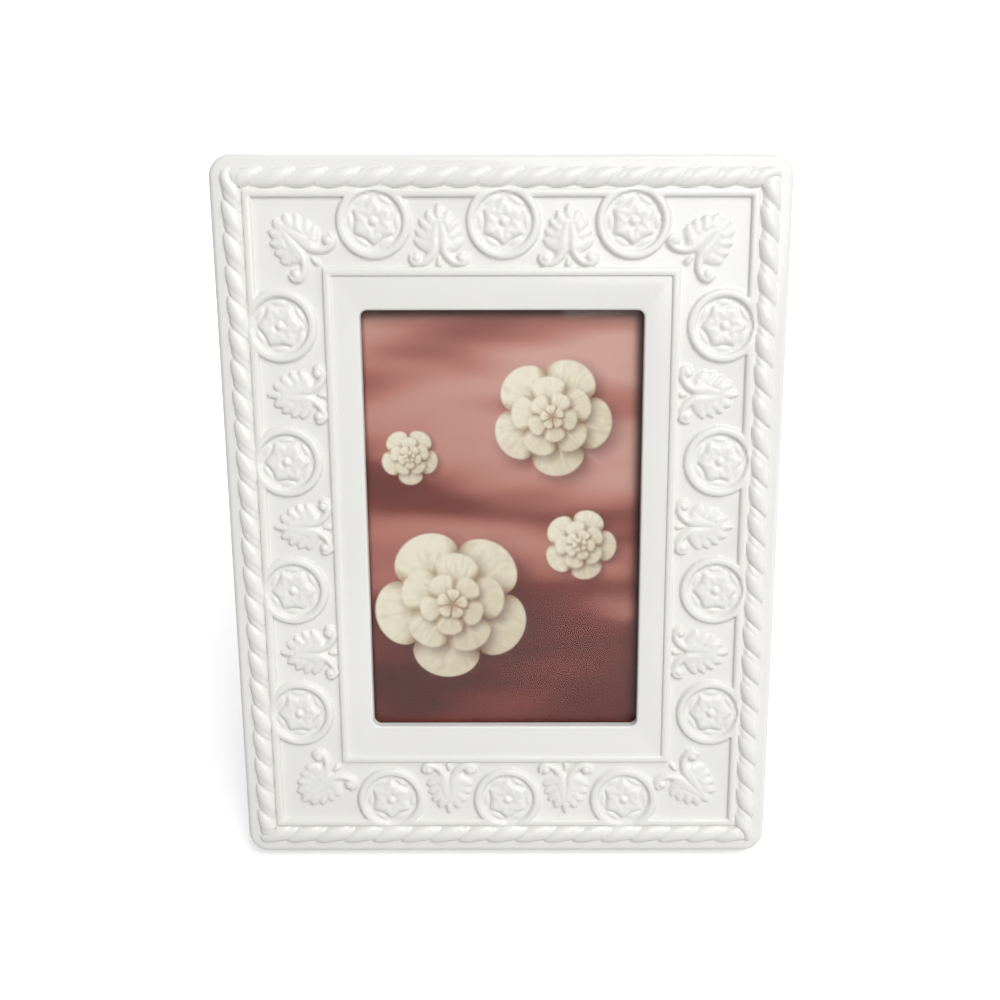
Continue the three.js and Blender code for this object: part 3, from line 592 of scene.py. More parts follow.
def palmette_relief(across, along, tip=LEAF_TIP, tip_width=LEAF_TIP_WIDTH):
    """Two lobed half leaves on stems that curl round balls at the foot, with a bud between them."""
    side = np.abs(across)
    relief = ridge(side, along, BLADE_FOOT, BLADE_TOP, BLADE_RADII, BLADE_RISE)
    for lobe_tip in LOBE_TIPS:
        relief = soft_max(relief, lobe_relief(side, along, lobe_tip, LOBE_WIDTH), LOBE_FILLET)
    relief = soft_max(relief, lobe_relief(side, along, (0.0, tip), tip_width), LOBE_FILLET)
    from_dish = np.hypot(side - DISH_MIDDLE[0], along - DISH_MIDDLE[1])
    dish = 1.0 - smooth_step(DISH_RADIUS - DISH_EDGE, DISH_RADIUS, from_dish)
    relief = relief - DISH_DEPTH * dish * np.clip(relief, 0.0, 1.0)
    line = stem_line()
    stem = np.full(side.shape, OUTSIDE)
    for i, (start, end) in enumerate(zip(line, line[1:])):
        width = mix(*STEM_WIDTHS, i / len(line))
        stem = np.maximum(stem, ridge(side, along, start, end, (width, width), LEAF_RISE))
    ball = mound(np.hypot(side - SCROLL_BALL[0], along - SCROLL_BALL[1]), BALL_RADIUS, BALL_RISE)
    bud = ridge(side, along, BUD_FOOT, BUD_TOP, BUD_RADII, BUD_RISE)
    for part in (stem, ball, bud):
        relief = soft_max(relief, part, JOIN_FILLET)
    return relief


def corner_relief(across, along):
    """The corner leaf is larger, stands further out and ends in a broad lobe."""
    across = across / CORNER_SCALE
    along = (along - CORNER_OFFSET) / CORNER_SCALE
    return palmette_relief(across, along, CORNER_TIP, CORNER_TIP_WIDTH)


def ornament_places():
    """Where each ornament stands and how far it is turned from pointing up: (right, up, turn)."""
    outer = grow(ROPE_INNER, RING_OVERHANG - RING_RADIUS)
    rings = []
    leaves = []
    corner_leaves = []
    for sign in (1, -1):
        end_turn = 0.0 if sign > 0 else math.pi
        side_turn = sign * math.pi / 2
        rings += [(END_OFFSET + step * END_PITCH, sign * outer[1], end_turn) for step in (-1, 0, 1)]
        rings += [(sign * outer[0], step * SIDE_PITCH, side_turn) for step in (-1.5, -0.5, 0.5, 1.5)]
        leaves += [(END_OFFSET + step * END_PITCH, sign * PANEL_INNER[1], end_turn) for step in (-0.5, 0.5)]
        leaves += [(sign * PANEL_INNER[0], step * SIDE_PITCH, side_turn) for step in (-1, 0, 1)]
        for up in (1, -1):
            corner_turn = side_turn * (1 - up / 2)
            corner_leaves.append((sign * PANEL_INNER[0], up * PANEL_INNER[1], corner_turn))
    return rings, leaves, corner_leaves


def to_local(right, up, spot):
    """Coordinates across and outwards from an ornament's own place."""
    cosine = math.cos(spot[2])
    sine = math.sin(spot[2])
    right = right - spot[0]
    up = up - spot[1]
    return right * cosine - up * sine, right * sine + up * cosine


def ornament_relief(right, up):
    """Height of all ornament above the panel, and how far each point lies inside a ring."""
    relief = np.full(right.shape, OUTSIDE)
    inside_ring = np.zeros(right.shape)
    rings, leaves, corner_leaves = ornament_places()
    for spot in rings:
        across, out = to_local(right, up, spot)
        near = np.hypot(across, out) < RING_RADIUS + REACH
        relief[near] = np.maximum(relief[near], medallion_relief(across[near], out[near]))
        radius = np.hypot(across[near], out[near])
        inside_ring[near] = 1.0 - smooth_step(RING_RADIUS - RING_BAND, RING_RADIUS - RING_BAND / 3, radius)
    for spots, shape in ((leaves, palmette_relief), (corner_leaves, corner_relief)):
        for spot in spots:
            across, along = to_local(right, up, spot)
            near = (np.abs(across) < LEAF_BOX[0] + REACH) & (along > -REACH)
            near &= along < LEAF_BOX[1] + REACH
            relief[near] = np.maximum(relief[near], shape(across[near], along[near]))
    return np.maximum(relief, OUTSIDE), inside_ring


def strands_passed(right, up):
    """How many rope strands lie between a point and the last corner, going round clockwise."""
    past_side = np.abs(right) - ROPE_INNER[0]
    past_end = np.abs(up) - ROPE_INNER[1]
    along_side = np.where(right < 0.0, up, -up) / ROPE_INNER[1]
    along_end = np.where(up > 0.0, right, -right) / ROPE_INNER[0]
    side = (along_side + 1.0) / 2 * ROPE_STRANDS[1]
    end = (along_end + 1.0) / 2 * ROPE_STRANDS[0]
    share = np.arctan2(np.maximum(past_end, 0.0), np.maximum(past_side, 0.0)) / (math.pi / 2)
    corner = np.where((right < 0.0) == (up > 0.0), share, 1.0 - share)
    in_corner = (past_side > 0.0) & (past_end > 0.0)
    return np.where(in_corner, corner, np.where(past_side > past_end, side, end))


def rope_height(lateral, strands):
    """Height of the cable moulding: round strands that wind across a half round, with a thread between."""
    turn = strands - ROPE_LAY * (math.asin(lateral) / math.pi + 0.5)
    share = turn - np.floor(turn)
    thread = ROPE_THREAD_RISE * np.sin(math.pi / 2 * np.clip(share / ROPE_THREAD, 0.0, 1.0))
    strand = np.sin(math.pi * np.clip((share - ROPE_THREAD) / (1.0 - ROPE_THREAD), 0.0, 1.0))
    height = np.maximum(np.where(share < 0.5, thread, 0.0), strand**ROPE_FULLNESS)
    girth = mix(1.0 - ROPE_GROOVE, 1.0, height)
    bulge = np.sqrt(np.maximum(girth**2 - lateral**2, 0.0))
    return bulge * ROPE_RISE - ROPE_DIP * (1.0 - height) ** 2 * (1.0 - lateral**2)


# PORCELAIN SURFACE

SIGNS = ((-1, -1), (-1, 1), (1, 1), (1, -1))
CORNER_KEY = 0.2  # share of each quarter's key that its corner takes


def perimeter(side_samples):
    """Samples round a rectangle, clockwise from the lower left corner as seen from the front.

    Rows: the place between the corners across and up, the angle of the round corner,
    and a key that orders the samples."""
    rows = []
    for corner, (across, up) in enumerate(SIGNS):
        next_across, next_up = SIGNS[(corner + 1) % 4]
        start = math.pi * (1.5 - corner / 2)
        samples = side_samples[(corner + 1) % 2]
        for step in range(CORNER_SAMPLES):
            share = step / CORNER_SAMPLES
            rows.append((across, up, start - share * math.pi / 2, corner + CORNER_KEY * share))
        for step in range(samples):
            share = step / samples
            key = corner + mix(CORNER_KEY, 1.0, share)
            place = (mix(across, next_across, share), mix(up, next_up, share))
            rows.append((*place, start - math.pi / 2, key))
    return np.array(rows).T


def loop_points(ring, size, radius):
    """Right and up of every sample of one loop."""
    right = ring[0] * (size[0] - radius) + radius * np.cos(ring[2])
    up = ring[1] * (size[1] - radius) + radius * np.sin(ring[2])
    return right, up


def eased(steps):
    """Shares from 0 to 1, closer together at both ends."""
    return [(1.0 - math.cos(math.pi * step / steps)) / 2 for step in range(steps + 1)]


def list_profile(share):
    """Height of a raised list across its width, from 0 to 1."""
    return math.sqrt(max(0.0, 1.0 - abs(2.0 * share - 1.0) ** 4))


def list_rows(start, inner_drop, outer_drop):
    """Loops of one raised list, whose sides fall to the depths beside it."""
    rows = []
    for share in eased(LIST_STEPS)[:-1]:
        drop = mix(inner_drop, outer_drop, share) * (1.0 - list_profile(share))
        rows.append((start + LIST_WIDTH * share, LIST_RADIUS, drop, None))
    return rows


def front_rows():
    """Loops of the modelled front: offset from the border, corner radius, depth, and place on the rope."""
    rows = [(-SUPPORT, LIST_RADIUS, BORDER_DROP, None)]
    rows += list_rows(0.0, BORDER_DROP, PANEL_DROP)
    for step in range(PANEL_STEPS):
        rows.append((LIST_WIDTH + PANEL_WIDTH * step / PANEL_STEPS, LIST_RADIUS, PANEL_DROP, None))
    rows += list_rows(OUTER_LIST, PANEL_DROP, RIM_DROP)
    rope = OUTER_LIST + LIST_WIDTH
    for share in eased(ROPE_STEPS):
        radius = mix(ROPE_INNER_RADIUS, ROPE_OUTER_RADIUS, share)
        rows.append((rope + ROPE_WIDTH * share, radius, RIM_DROP, 2.0 * share - 1.0))
    rows.append((rope + ROPE_WIDTH + SUPPORT, ROPE_OUTER_RADIUS + SUPPORT, RIM_DROP, None))
    return rows


def front_loops(ring):
    """The modelled front from the border to the rim: right, back and up of every loop's samples."""
    rows = front_rows()
    places = [loop_points(ring, grow(BORDER, offset), radius) for offset, radius, drop, lateral in rows]
    right = np.array([place[0] for place in places])
    up = np.array([place[1] for place in places])
    base = np.array([np.full(right.shape[1], drop) for offset, radius, drop, lateral in rows])
    relief, inside_ring = ornament_relief(right, up)
    on_list = np.array([OUTER_LIST <= row[0] < OUTER_LIST + LIST_WIDTH for row in rows])
    base = mix(base, PANEL_DROP, on_list[:, None] * inside_ring)
    height = soft_max(-base, relief - PANEL_DROP, FILLET)
    for i, (offset, radius, drop, lateral) in enumerate(rows):
        if lateral is not None:
            rope = rope_height(lateral, strands_passed(right[i], up[i]))
            height[i] = soft_max(rope - RIM_DROP, relief[i] - PANEL_DROP, FILLET)
    return right, -height, up


def plain_rows():
    """The plain rest of the section: the window's edge before the front, and all that follows the rim."""
    rim_radius = ROPE_OUTER_RADIUS + RIM_FLAT
    side_radius = rim_radius + RIM_ROUND
    rear = grow(SIDE, SKIRT_FLARE)
    rear_radius = side_radius + SKIRT_FLARE
    before = [(WINDOW, WINDOW_RADIUS, LIP_REAR)]
    after = [(RIM, rim_radius, RIM_DROP)]
    for out, drop in rounding(WINDOW_EASE, 4):
        before.append((grow(WINDOW, out), WINDOW_RADIUS + out, BORDER_DROP + drop))
    for angle in quarter(5)[1:]:
        out = RIM_ROUND * math.sin(angle)
        drop = RIM_ROUND * (1.0 - math.cos(angle))
        after.append((grow(RIM, out), rim_radius + out, RIM_DROP + drop))
    for amount, drop in rounding(REAR_EASE, 4):
        after.append((grow(rear, -amount), rear_radius - amount, FRAME_DEPTH - drop))
    for amount, drop in reversed(rounding(REAR_EASE, 4)):
        after.append((grow(RECESS, amount), RECESS_RADIUS + amount, FRAME_DEPTH - drop))
    after.append((RECESS, RECESS_RADIUS, LEDGE))
    after.append((REBATE, REBATE_RADIUS, LEDGE))
    after.append((REBATE, REBATE_RADIUS, LIP_REAR))
    return before, after


def bridge(first, first_keys, second, second_keys):
    """Triangles between two closed loops of different counts."""
    faces = []
    i = 0
    j = 0
    first_ends = np.append(first_keys[1:], 4.0)
    second_ends = np.append(second_keys[1:], 4.0)
    while i < len(first) or j < len(second):
        here = int(first[i % len(first)])
        there = int(second[j % len(second)])
        if j == len(second) or (i < len(first) and first_ends[i] <= second_ends[j]):
            i += 1
            faces.append([here, int(first[i % len(first)]), there])
        else:
            j += 1
            faces.append([here, int(second[j % len(second)]), there])
    return faces


def porcelain_shell():
    """The whole porcelain surface as one closed shell."""
    ring = perimeter(SIDE_SAMPLES)
    plain_ring = perimeter(PLAIN_SIDE_SAMPLES)
    before, after = plain_rows()
    right, back, up = front_loops(ring)
    loops = []

    def add_plain(rows):
        for size, radius, depth in rows:
            loop_right, loop_up = loop_points(plain_ring, size, radius)
            loops.append((FRONT.points(loop_right, depth, loop_up), plain_ring[3]))

    add_plain(before)
    rope = [len(loops) + i for i, row in enumerate(front_rows()) if row[3] is not None]
    for row in range(len(right)):
        loops.append((FRONT.points(right[row], back[row], up[row]), ring[3]))
    add_plain(after)
    starts = np.cumsum([0] + [len(points) for points, keys in loops])
    numbers = [np.arange(start, end) for start, end in zip(starts, starts[1:])]
    faces = []
    for i in range(len(loops)):
        j = (i + 1) % len(loops)
        if len(numbers[i]) == len(numbers[j]):
            faces += strip(numbers[i], numbers[j], slanted=i in rope and j in rope)
        else:
            faces += bridge(numbers[i], loops[i][1], numbers[j], loops[j][1])
    vertices = np.concatenate([points for points, keys in loops])
    vertices[:, 2] = np.maximum(vertices[:, 2], 0.0)
    return vertices, faces


def slot_cutter(side, end):
    """The space that a turn button's tip swings through, as a mesh to cut away."""
    swing = math.hypot(BUTTON_SETBACK + BUTTON_ENGAGE, BUTTON_WIDTH / 2)
    reach = math.sqrt(swing**2 - BUTTON_SETBACK**2) + SLOT_CLEARANCE
    depth = BUTTON_ENGAGE + SLOT_CLEARANCE
    corners = [(-depth, -reach), (-depth, reach), (depth, reach), (depth, -reach)]
    outline = np.array(corners) + np.array([side * RECESS[0], end * BUTTON[1]])
    front = FITTING_FRONT - SLOT_CLEARANCE
    rear = FITTING_FRONT + BUTTON_THICKNESS + SLOT_CLEARANCE
    loops = [FRONT.points(outline[:, 0], depth, outline[:, 1]) for depth in (front, rear)]
    vertices, faces = loft(loops)
    return add_mesh("slot_cutter", vertices.tolist(), faces)


def porcelain(material):
    """The porcelain, with a slot cut for each turn button."""
    sharp = 50.0
    made = piece("porcelain_frame", [porcelain_shell()], material, "porcelain_body", sharp_degrees=sharp)
    for side in (-1, 1):
        for end in (-1, 1):
            cutter = slot_cutter(side, end)
            cut = made.modifiers.new("slot", "BOOLEAN")
            cut.operation = "DIFFERENCE"
            cut.solver = "EXACT"
            cut.object = cutter
            graph = bpy.context.evaluated_depsgraph_get()
            mesh = bpy.data.meshes.new_from_object(made.evaluated_get(graph))
            made.modifiers.clear()
            made.data = mesh
            bpy.data.objects.remove(cutter)
    made.data.set_sharp_from_angle(angle=math.radians(sharp))


# BACK, HINGE AND STRUT


def rivet(name, node, axes, start, seat, material, radii=RIVET):
    """A domed rivet along the back axis, with its head behind the seat."""
    shank, head = radii
    rim = seat + RIVET_RIM
    profile = [(shank, start), (shank, seat), (head - RIVET_EASE, seat)]
    profile += [(head, seat + RIVET_EASE), (head, rim)]
    for angle in quarter(7)[1:]:
        radius = max(head * math.cos(angle), RIVET_TOP)
        profile.append((radius, mix(rim, seat + RIVET_CROWN, math.sin(angle))))
    piece(name, [turned(axes, profile)], material, node)


def board_rivets(brass, steel):
    """Three rivets in each hinge leaf and one at each end of the ribbon."""
    board_row = HINGE_RISE + (KNUCKLE_RADIUS + BOARD_LEAF_REACH) / 2
    strut_row = -(KNUCKLE_RADIUS + STRUT_LEAF_REACH) / 2
    leaf_face = FITTING_FRONT + HINGE_LEAF
    leaf_start = STRUT_BOARD_FRONT + FACE_GAP
    for i in range(3):
        across = (i - 1) * (HINGE_WIDTH / 2 - RIVET_EDGE)
        axes = FRONT.at(across, 0.0, board_row)
        node = f"board_leaf_rivet_{i + 1}"
        rivet(f"board_hinge_rivet_{i + 1}", node, axes, BOARD_RIVET_START, leaf_face, steel)
        axes = STRUT.at(across, 0.0, strut_row)
        node = f"strut_leaf_rivet_{i + 1}"
        rivet(f"strut_hinge_rivet_{i + 1}", node, axes, leaf_start, KNUCKLE_RADIUS, steel)
    axes = FRONT.at(0.0, 0.0, HINGE_RISE - RIBBON_REACH - RIBBON_TAB / 2)
    seat = FITTING_FRONT + RIBBON_THICKNESS
    rivet("ribbon_rivet_low", "ribbon_board_rivet", axes, BOARD_RIVET_START, seat, brass)
    axes = STRUT.at(0.0, 0.0, RIBBON_TAB / 2 - RIBBON_REACH).reversed()
    seat = STRUT_NAP - STRUT_BOARD_FRONT + FACE_GAP + RIBBON_THICKNESS
    rivet("ribbon_rivet_high", "ribbon_strut_rivet", axes, STRUT_RIVET_START, seat, brass)


def turn_buttons(brass):
    """Brass tongues with a pressed bead, each on its pivot rivet."""
    radius = BUTTON_WIDTH / 2
    tip = BUTTON_SETBACK + BUTTON_ENGAGE
    for i, (side, end) in enumerate(((-1, 1), (1, 1), (-1, -1), (1, -1))):
        axes = FRONT.at(side * BUTTON[0], 0.0, end * BUTTON[1])
        corners = [((-radius, -radius), radius - ROUND_END), ((-radius, radius), radius - ROUND_END)]
        corners += [((tip, radius), radius / 2), ((tip, -radius), radius / 2)]
        outline = rounded(corners)
        corners = [(BEAD_START, -BEAD_HALF), (BEAD_START, BEAD_HALF)]
        corners += [(BEAD_END, BEAD_HALF), (BEAD_END, -BEAD_HALF)]
        bead = rounded([(corner, BEAD_HALF - 2 * ROUND_END) for corner in corners])
        if side < 0:
            outline = -outline
            bead = -bead
        rear = FITTING_FRONT + BUTTON_THICKNESS
        plate = slab(axes, outline, FITTING_FRONT, rear, BUTTON_EASE)
        raised = slab(axes, bead, rear - BEAD_ROOT, rear + BEAD_RISE, BEAD_RISE)
        piece(f"turn_tongue_{i + 1}", [plate, raised], brass, f"turn_button_{i + 1}")
        node = f"turn_button_rivet_{i + 1}"
        rivet(f"turn_pivot_{i + 1}", node, axes, BOARD_RIVET_START, rear, brass, BUTTON_RIVET)


def knuckle(middle, length):
    """A rolled barrel about the hinge pin."""
    start = middle - length / 2
    end = middle + length / 2
    eased_radius = KNUCKLE_RADIUS - KNUCKLE_EASE
    profile = [(BORE_RADIUS, start), (eased_radius, start), (KNUCKLE_RADIUS, start + KNUCKLE_EASE)]
    profile += [(KNUCKLE_RADIUS, end - KNUCKLE_EASE), (eased_radius, end), (BORE_RADIUS, end)]
    return turned(BARREL, profile, closed=True)


def hinge(steel):
    """Two leaves with their knuckles on one pin."""
    length = (HINGE_WIDTH - 2 * KNUCKLE_GAP) / 3
    spacing = length + KNUCKLE_GAP
    half = HINGE_WIDTH / 2
    clear = KNUCKLE_RADIUS + KNUCKLE_GAP
    notch = length / 2 + KNUCKLE_GAP
    opening = [(notch, 0.0), (notch, clear), (-notch, clear), (-notch, 0.0)]
    board = mirrored([((-half, 0.0), 0.0), ((-half, BOARD_LEAF_REACH), LEAF_CORNER)])
    board += [(corner, 0.0) for corner in opening]
    axes = FRONT.at(0.0, 0.0, HINGE_RISE)
    plate = slab(axes, rounded(board), FITTING_FRONT, FITTING_FRONT + HINGE_LEAF, LEAF_EASE, 2)
    knuckles = [knuckle(-spacing, length), knuckle(spacing, length)]
    piece("hinge_leaf_upper", [plate] + knuckles, steel, "hinge_board_leaf")
    tab = length / 2
    strut = [((-half, -STRUT_LEAF_REACH), LEAF_CORNER), ((-half, -clear), 0.0)]
    strut = mirrored(strut + [((-tab, -clear), 0.0), ((-tab, 0.0), 0.0)])
    plate = slab(STRUT, rounded(strut), KNUCKLE_RADIUS - HINGE_LEAF, KNUCKLE_RADIUS, LEAF_EASE, 2)
    piece("hinge_leaf_lower", [plate, knuckle(0.0, length)], steel, "hinge_strut_leaf")
    profile = [(radius, depth - half) for radius, depth in PIN_END]
    profile += [(radius, -depth) for radius, depth in reversed(profile)]
    piece("hinge_axle", [turned(BARREL, profile)], steel, "hinge_pin")


def back_covers(velvet):
    """The velvet of the back board and of both faces of the strut."""
    corners = [((x * BOARD[0], z * BOARD[1]), RECESS_RADIUS) for x, z in SIGNS]
    cover = slab(FRONT, rounded(corners), BOARD_REAR, VELVET_REAR, VELVET_EASE)
    made = piece("velvet_back", [cover], velvet, "back_velvet")
    tilt = STRUT_ANGLE - LEAN
    faces = (
        ("velvet_strut_rear", "strut_outer_velvet", STRUT_BOARD_REAR, STRUT_BOARD_REAR + STRUT_NAP),
        ("velvet_strut_front", "strut_inner_velvet", STRUT_BOARD_FRONT - STRUT_NAP, STRUT_BOARD_FRONT),
    )
    for name, node, front, rear in faces:
        level = (HINGE.z / MM + rear * math.sin(tilt)) / math.cos(tilt)
        foot = NAP_SETBACK - level
        corners = [((-STRUT_FOOT_HALF, foot), FOOT_CORNER), ((-STRUT_TOP_HALF, STRUT_TOP), STRUT_CORNER)]
        cover = slab(STRUT, rounded(mirrored(corners)), front, rear, NAP_EASE)
        made = piece(name, [cover], velvet, node)


def stay_ribbon(material):
    """A woven ribbon riveted to the board and to the strut, which keeps the strut from opening too far."""
    strut_face = STRUT_BOARD_FRONT - STRUT_NAP - RIBBON_THICKNESS / 2 - RIBBON_SINK
    on_strut = [STRUT.point(0.0, strut_face, reach - RIBBON_REACH) for reach in (0.0, RIBBON_TAB)]
    board_face = FITTING_FRONT - RIBBON_SINK + RIBBON_THICKNESS / 2
    low = HINGE_RISE - RIBBON_REACH
    on_board = [FRONT.point(0.0, board_face, low - reach) for reach in (RIBBON_TAB, 0.0)]
    corners = []
    for spot in on_board + on_strut:
        offset = (spot - FRONT.origin) / MM
        corners.append(((offset.dot(FRONT.back), offset.dot(FRONT.up)), RIBBON_BEND))
    path = rounded(corners, steps=8, closed=False)
    spans = []
    for start, end in zip(path, path[1:]):
        steps = max(2, int(np.linalg.norm(end - start) / RIBBON_STEP))
        spans.append(np.linspace(start, end, steps, endpoint=False))
    path = np.concatenate(spans + [path[-1:]])
    along = np.gradient(path, axis=0)
    along /= np.linalg.norm(along, axis=1, keepdims=True)
    half = RIBBON_WIDTH / 2
    thick = RIBBON_THICKNESS / 2
    edge = [((-half, -thick), RIBBON_EDGE), ((-half, thick), RIBBON_EDGE)]
    outline = rounded(mirrored(edge), steps=3)
    loops = []
    for (back, up), (back_step, up_step) in zip(path, along):
        heading = FRONT.back * back_step + FRONT.up * up_step
        axes = Axes(FRONT.point(0.0, back, up), RIGHT, heading)
        loops.append(axes.points(outline[:, 0], 0.0, outline[:, 1]))
    made = piece("ribbon_stay", [loft(loops)], material, "stay_ribbon", ride=False, sharp_degrees=60.0)
    lengths = np.concatenate([[0.0], np.cumsum(np.linalg.norm(np.diff(path, axis=0), axis=1))])
    weave = made.data.uv_layers.new(name="weave")
    count = len(outline)
    for loop in made.data.loops:
        row, column = divmod(loop.vertex_index, count)
        weave.data[loop.index].uv = (outline[column, 0], lengths[row])
    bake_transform(made)


# MATERIALS


class Nodes:
    """A small helper round the node tree of a new material, or of the world."""

    def __init__(self, name, world=None):
        self.material = world or bpy.data.materials.new(name)
        self.material.use_nodes = True
        self.tree = self.material.node_tree
        self.shader = self.tree.nodes.get("Principled BSDF")

    def feed(self, value, target):
        """Links a socket or sets a plain value."""
        if isinstance(value, bpy.types.NodeSocket):
            self.tree.links.new(value, target)
        else:
            target.default_value = value

    def fill(self, node, **inputs):
        """Feeds a node's inputs by name, with _ for a space."""
        for key, value in inputs.items():
            self.feed(value, node.inputs[key.replace("_", " ")])

    def set(self, **inputs):
        """Feeds the inputs of the material's own shader."""
        self.fill(self.shader, **inputs)

    def add(self, kind, **inputs):
        """A new node with its inputs fed."""
        node = self.tree.nodes.new("ShaderNode" + kind)
        self.fill(node, **inputs)
        return node

    def operate(self, kind, operation, values):
        node = self.add(kind)
        node.operation = operation
        for value, target in zip(values, node.inputs):
            self.feed(value, target)
        return node

    def math(self, operation, *values):
        return self.operate("Math", operation, values).outputs[0]

    def measure(self, operation, *vectors):
        """A number worked out from vectors."""
        return self.operate("VectorMath", operation, vectors).outputs["Value"]

    def weigh(self, first, first_share, second, second_share):
        """A weighted sum of two values."""
        return self.math("MULTIPLY_ADD", first, first_share, self.math("MULTIPLY", second, second_share))

    def coordinates(self, kind="Object"):
        return self.add("TexCoord").outputs[kind]

    def split(self, vector):
        """The X, Y and Z of a vector."""
        return self.add("SeparateXYZ", Vector=vector).outputs

    def mapped(self, vector, scale, rotation=(0.0, 0.0, 0.0), location=(0.0, 0.0, 0.0), kind="POINT"):
        node = self.add("Mapping")
        node.vector_type = kind
        self.fill(node, Vector=vector, Location=location, Rotation=rotation, Scale=scale)
        return node.outputs["Vector"]

    def noise(self, scale, detail=3.0, roughness=0.5, vector=None):
        vector = vector or self.coordinates()
        node = self.add("TexNoise", Scale=scale, Detail=detail, Roughness=roughness, Vector=vector)
        return node.outputs["Fac"]

    def ramp(self, source, stops):
        """A colour for each value, between the colours of the stops. The first two stops are its ends."""
        node = self.add("ValToRGB", Fac=source)
        elements = node.color_ramp.elements
        for index, (position, colour) in enumerate(stops):
            element = elements[index] if index < 2 else elements.new(position)
            element.position = position
            element.color = (*colour, 1.0)
        return node.outputs["Color"]

    def blend(self, share, first, second):
        """A mix of a colour's socket and a second colour, which is a socket or an RGB triple."""
        node = self.add("Mix")
        node.data_type = "RGBA"
        if not isinstance(second, bpy.types.NodeSocket):
            second = (*second, 1.0)
        self.fill(node, Factor=share, A=first, B=second)
        return node.outputs["Result"]

    def span(self, source, low, high, start=0.0, end=1.0, smooth=False):
        """Maps a value from one range into another."""
        node = self.add("MapRange", Value=source, From_Min=start, From_Max=end, To_Min=low, To_Max=high)
        if smooth:
            node.interpolation_type = "SMOOTHSTEP"
        return node.outputs["Result"]

    def bump(self, source, strength, distance):
        node = self.add("Bump", Strength=strength, Distance=distance, Height=source)
        self.set(Normal=node.outputs["Normal"])

    def surface(self, kind, first, second):
        """Joins two shaders, by adding or mixing them, and shows the result."""
        node = self.add(kind)
        self.feed(first.outputs[0], node.inputs[-2])
        self.feed(second.outputs[0], node.inputs[-1])
        self.fill(self.tree.nodes["Material Output"], Surface=node.outputs[0])
        return node

    def white_share(self):
        """1 for rays that show the background, directly or in gloss or glass, and otherwise 0."""
        rays = self.add("LightPath").outputs
        seen = self.math("MAXIMUM", rays["Is Camera Ray"], rays["Is Glossy Ray"])
        seen = self.math("MAXIMUM", seen, rays["Is Transmission Ray"])
        return self.math("MULTIPLY", seen, self.math("LESS_THAN", rays["Diffuse Depth"], 0.5))


def glaze_material():
    """White glaze, a little uneven in tint and gloss, and bare where the foot is ground."""
    nodes = Nodes("porcelain_glaze")
    tint = nodes.ramp(nodes.noise(18.0), [(0.3, (0.88, 0.875, 0.845)), (0.7, (0.91, 0.905, 0.875))])
    height = nodes.split(nodes.coordinates())["Z"]
    bare = nodes.span(height, 1.0, 0.0, 0.0002, 0.0007, smooth=True)
    biscuit = nodes.ramp(nodes.noise(900.0), [(0.3, (0.66, 0.63, 0.57)), (0.7, (0.76, 0.73, 0.67))])
    gloss = nodes.span(nodes.noise(35.0), 0.07, 0.15)
    gloss = nodes.math("MAXIMUM", gloss, nodes.math("MULTIPLY", bare, 0.8))
    nodes.set(Base_Color=nodes.blend(bare, tint, biscuit), Roughness=gloss, IOR=1.5)
    nodes.bump(nodes.noise(650.0, detail=1.0), 0.06, 0.0004)
    return nodes.material


def glass_material():
    """Clear anti-reflection glass that lets the lamps through to the picture."""
    nodes = Nodes("clear_glass")
    smear = nodes.span(nodes.noise(22.0), 0.0, 0.012)
    nodes.set(Base_Color=(0.97, 0.99, 0.98, 1.0), Roughness=smear, IOR=1.2, Transmission_Weight=1.0)
    both = nodes.surface("MixShader", nodes.shader, nodes.add("BsdfTransparent"))
    nodes.fill(both, Fac=nodes.add("LightPath").outputs["Is Shadow Ray"])
    return nodes.material


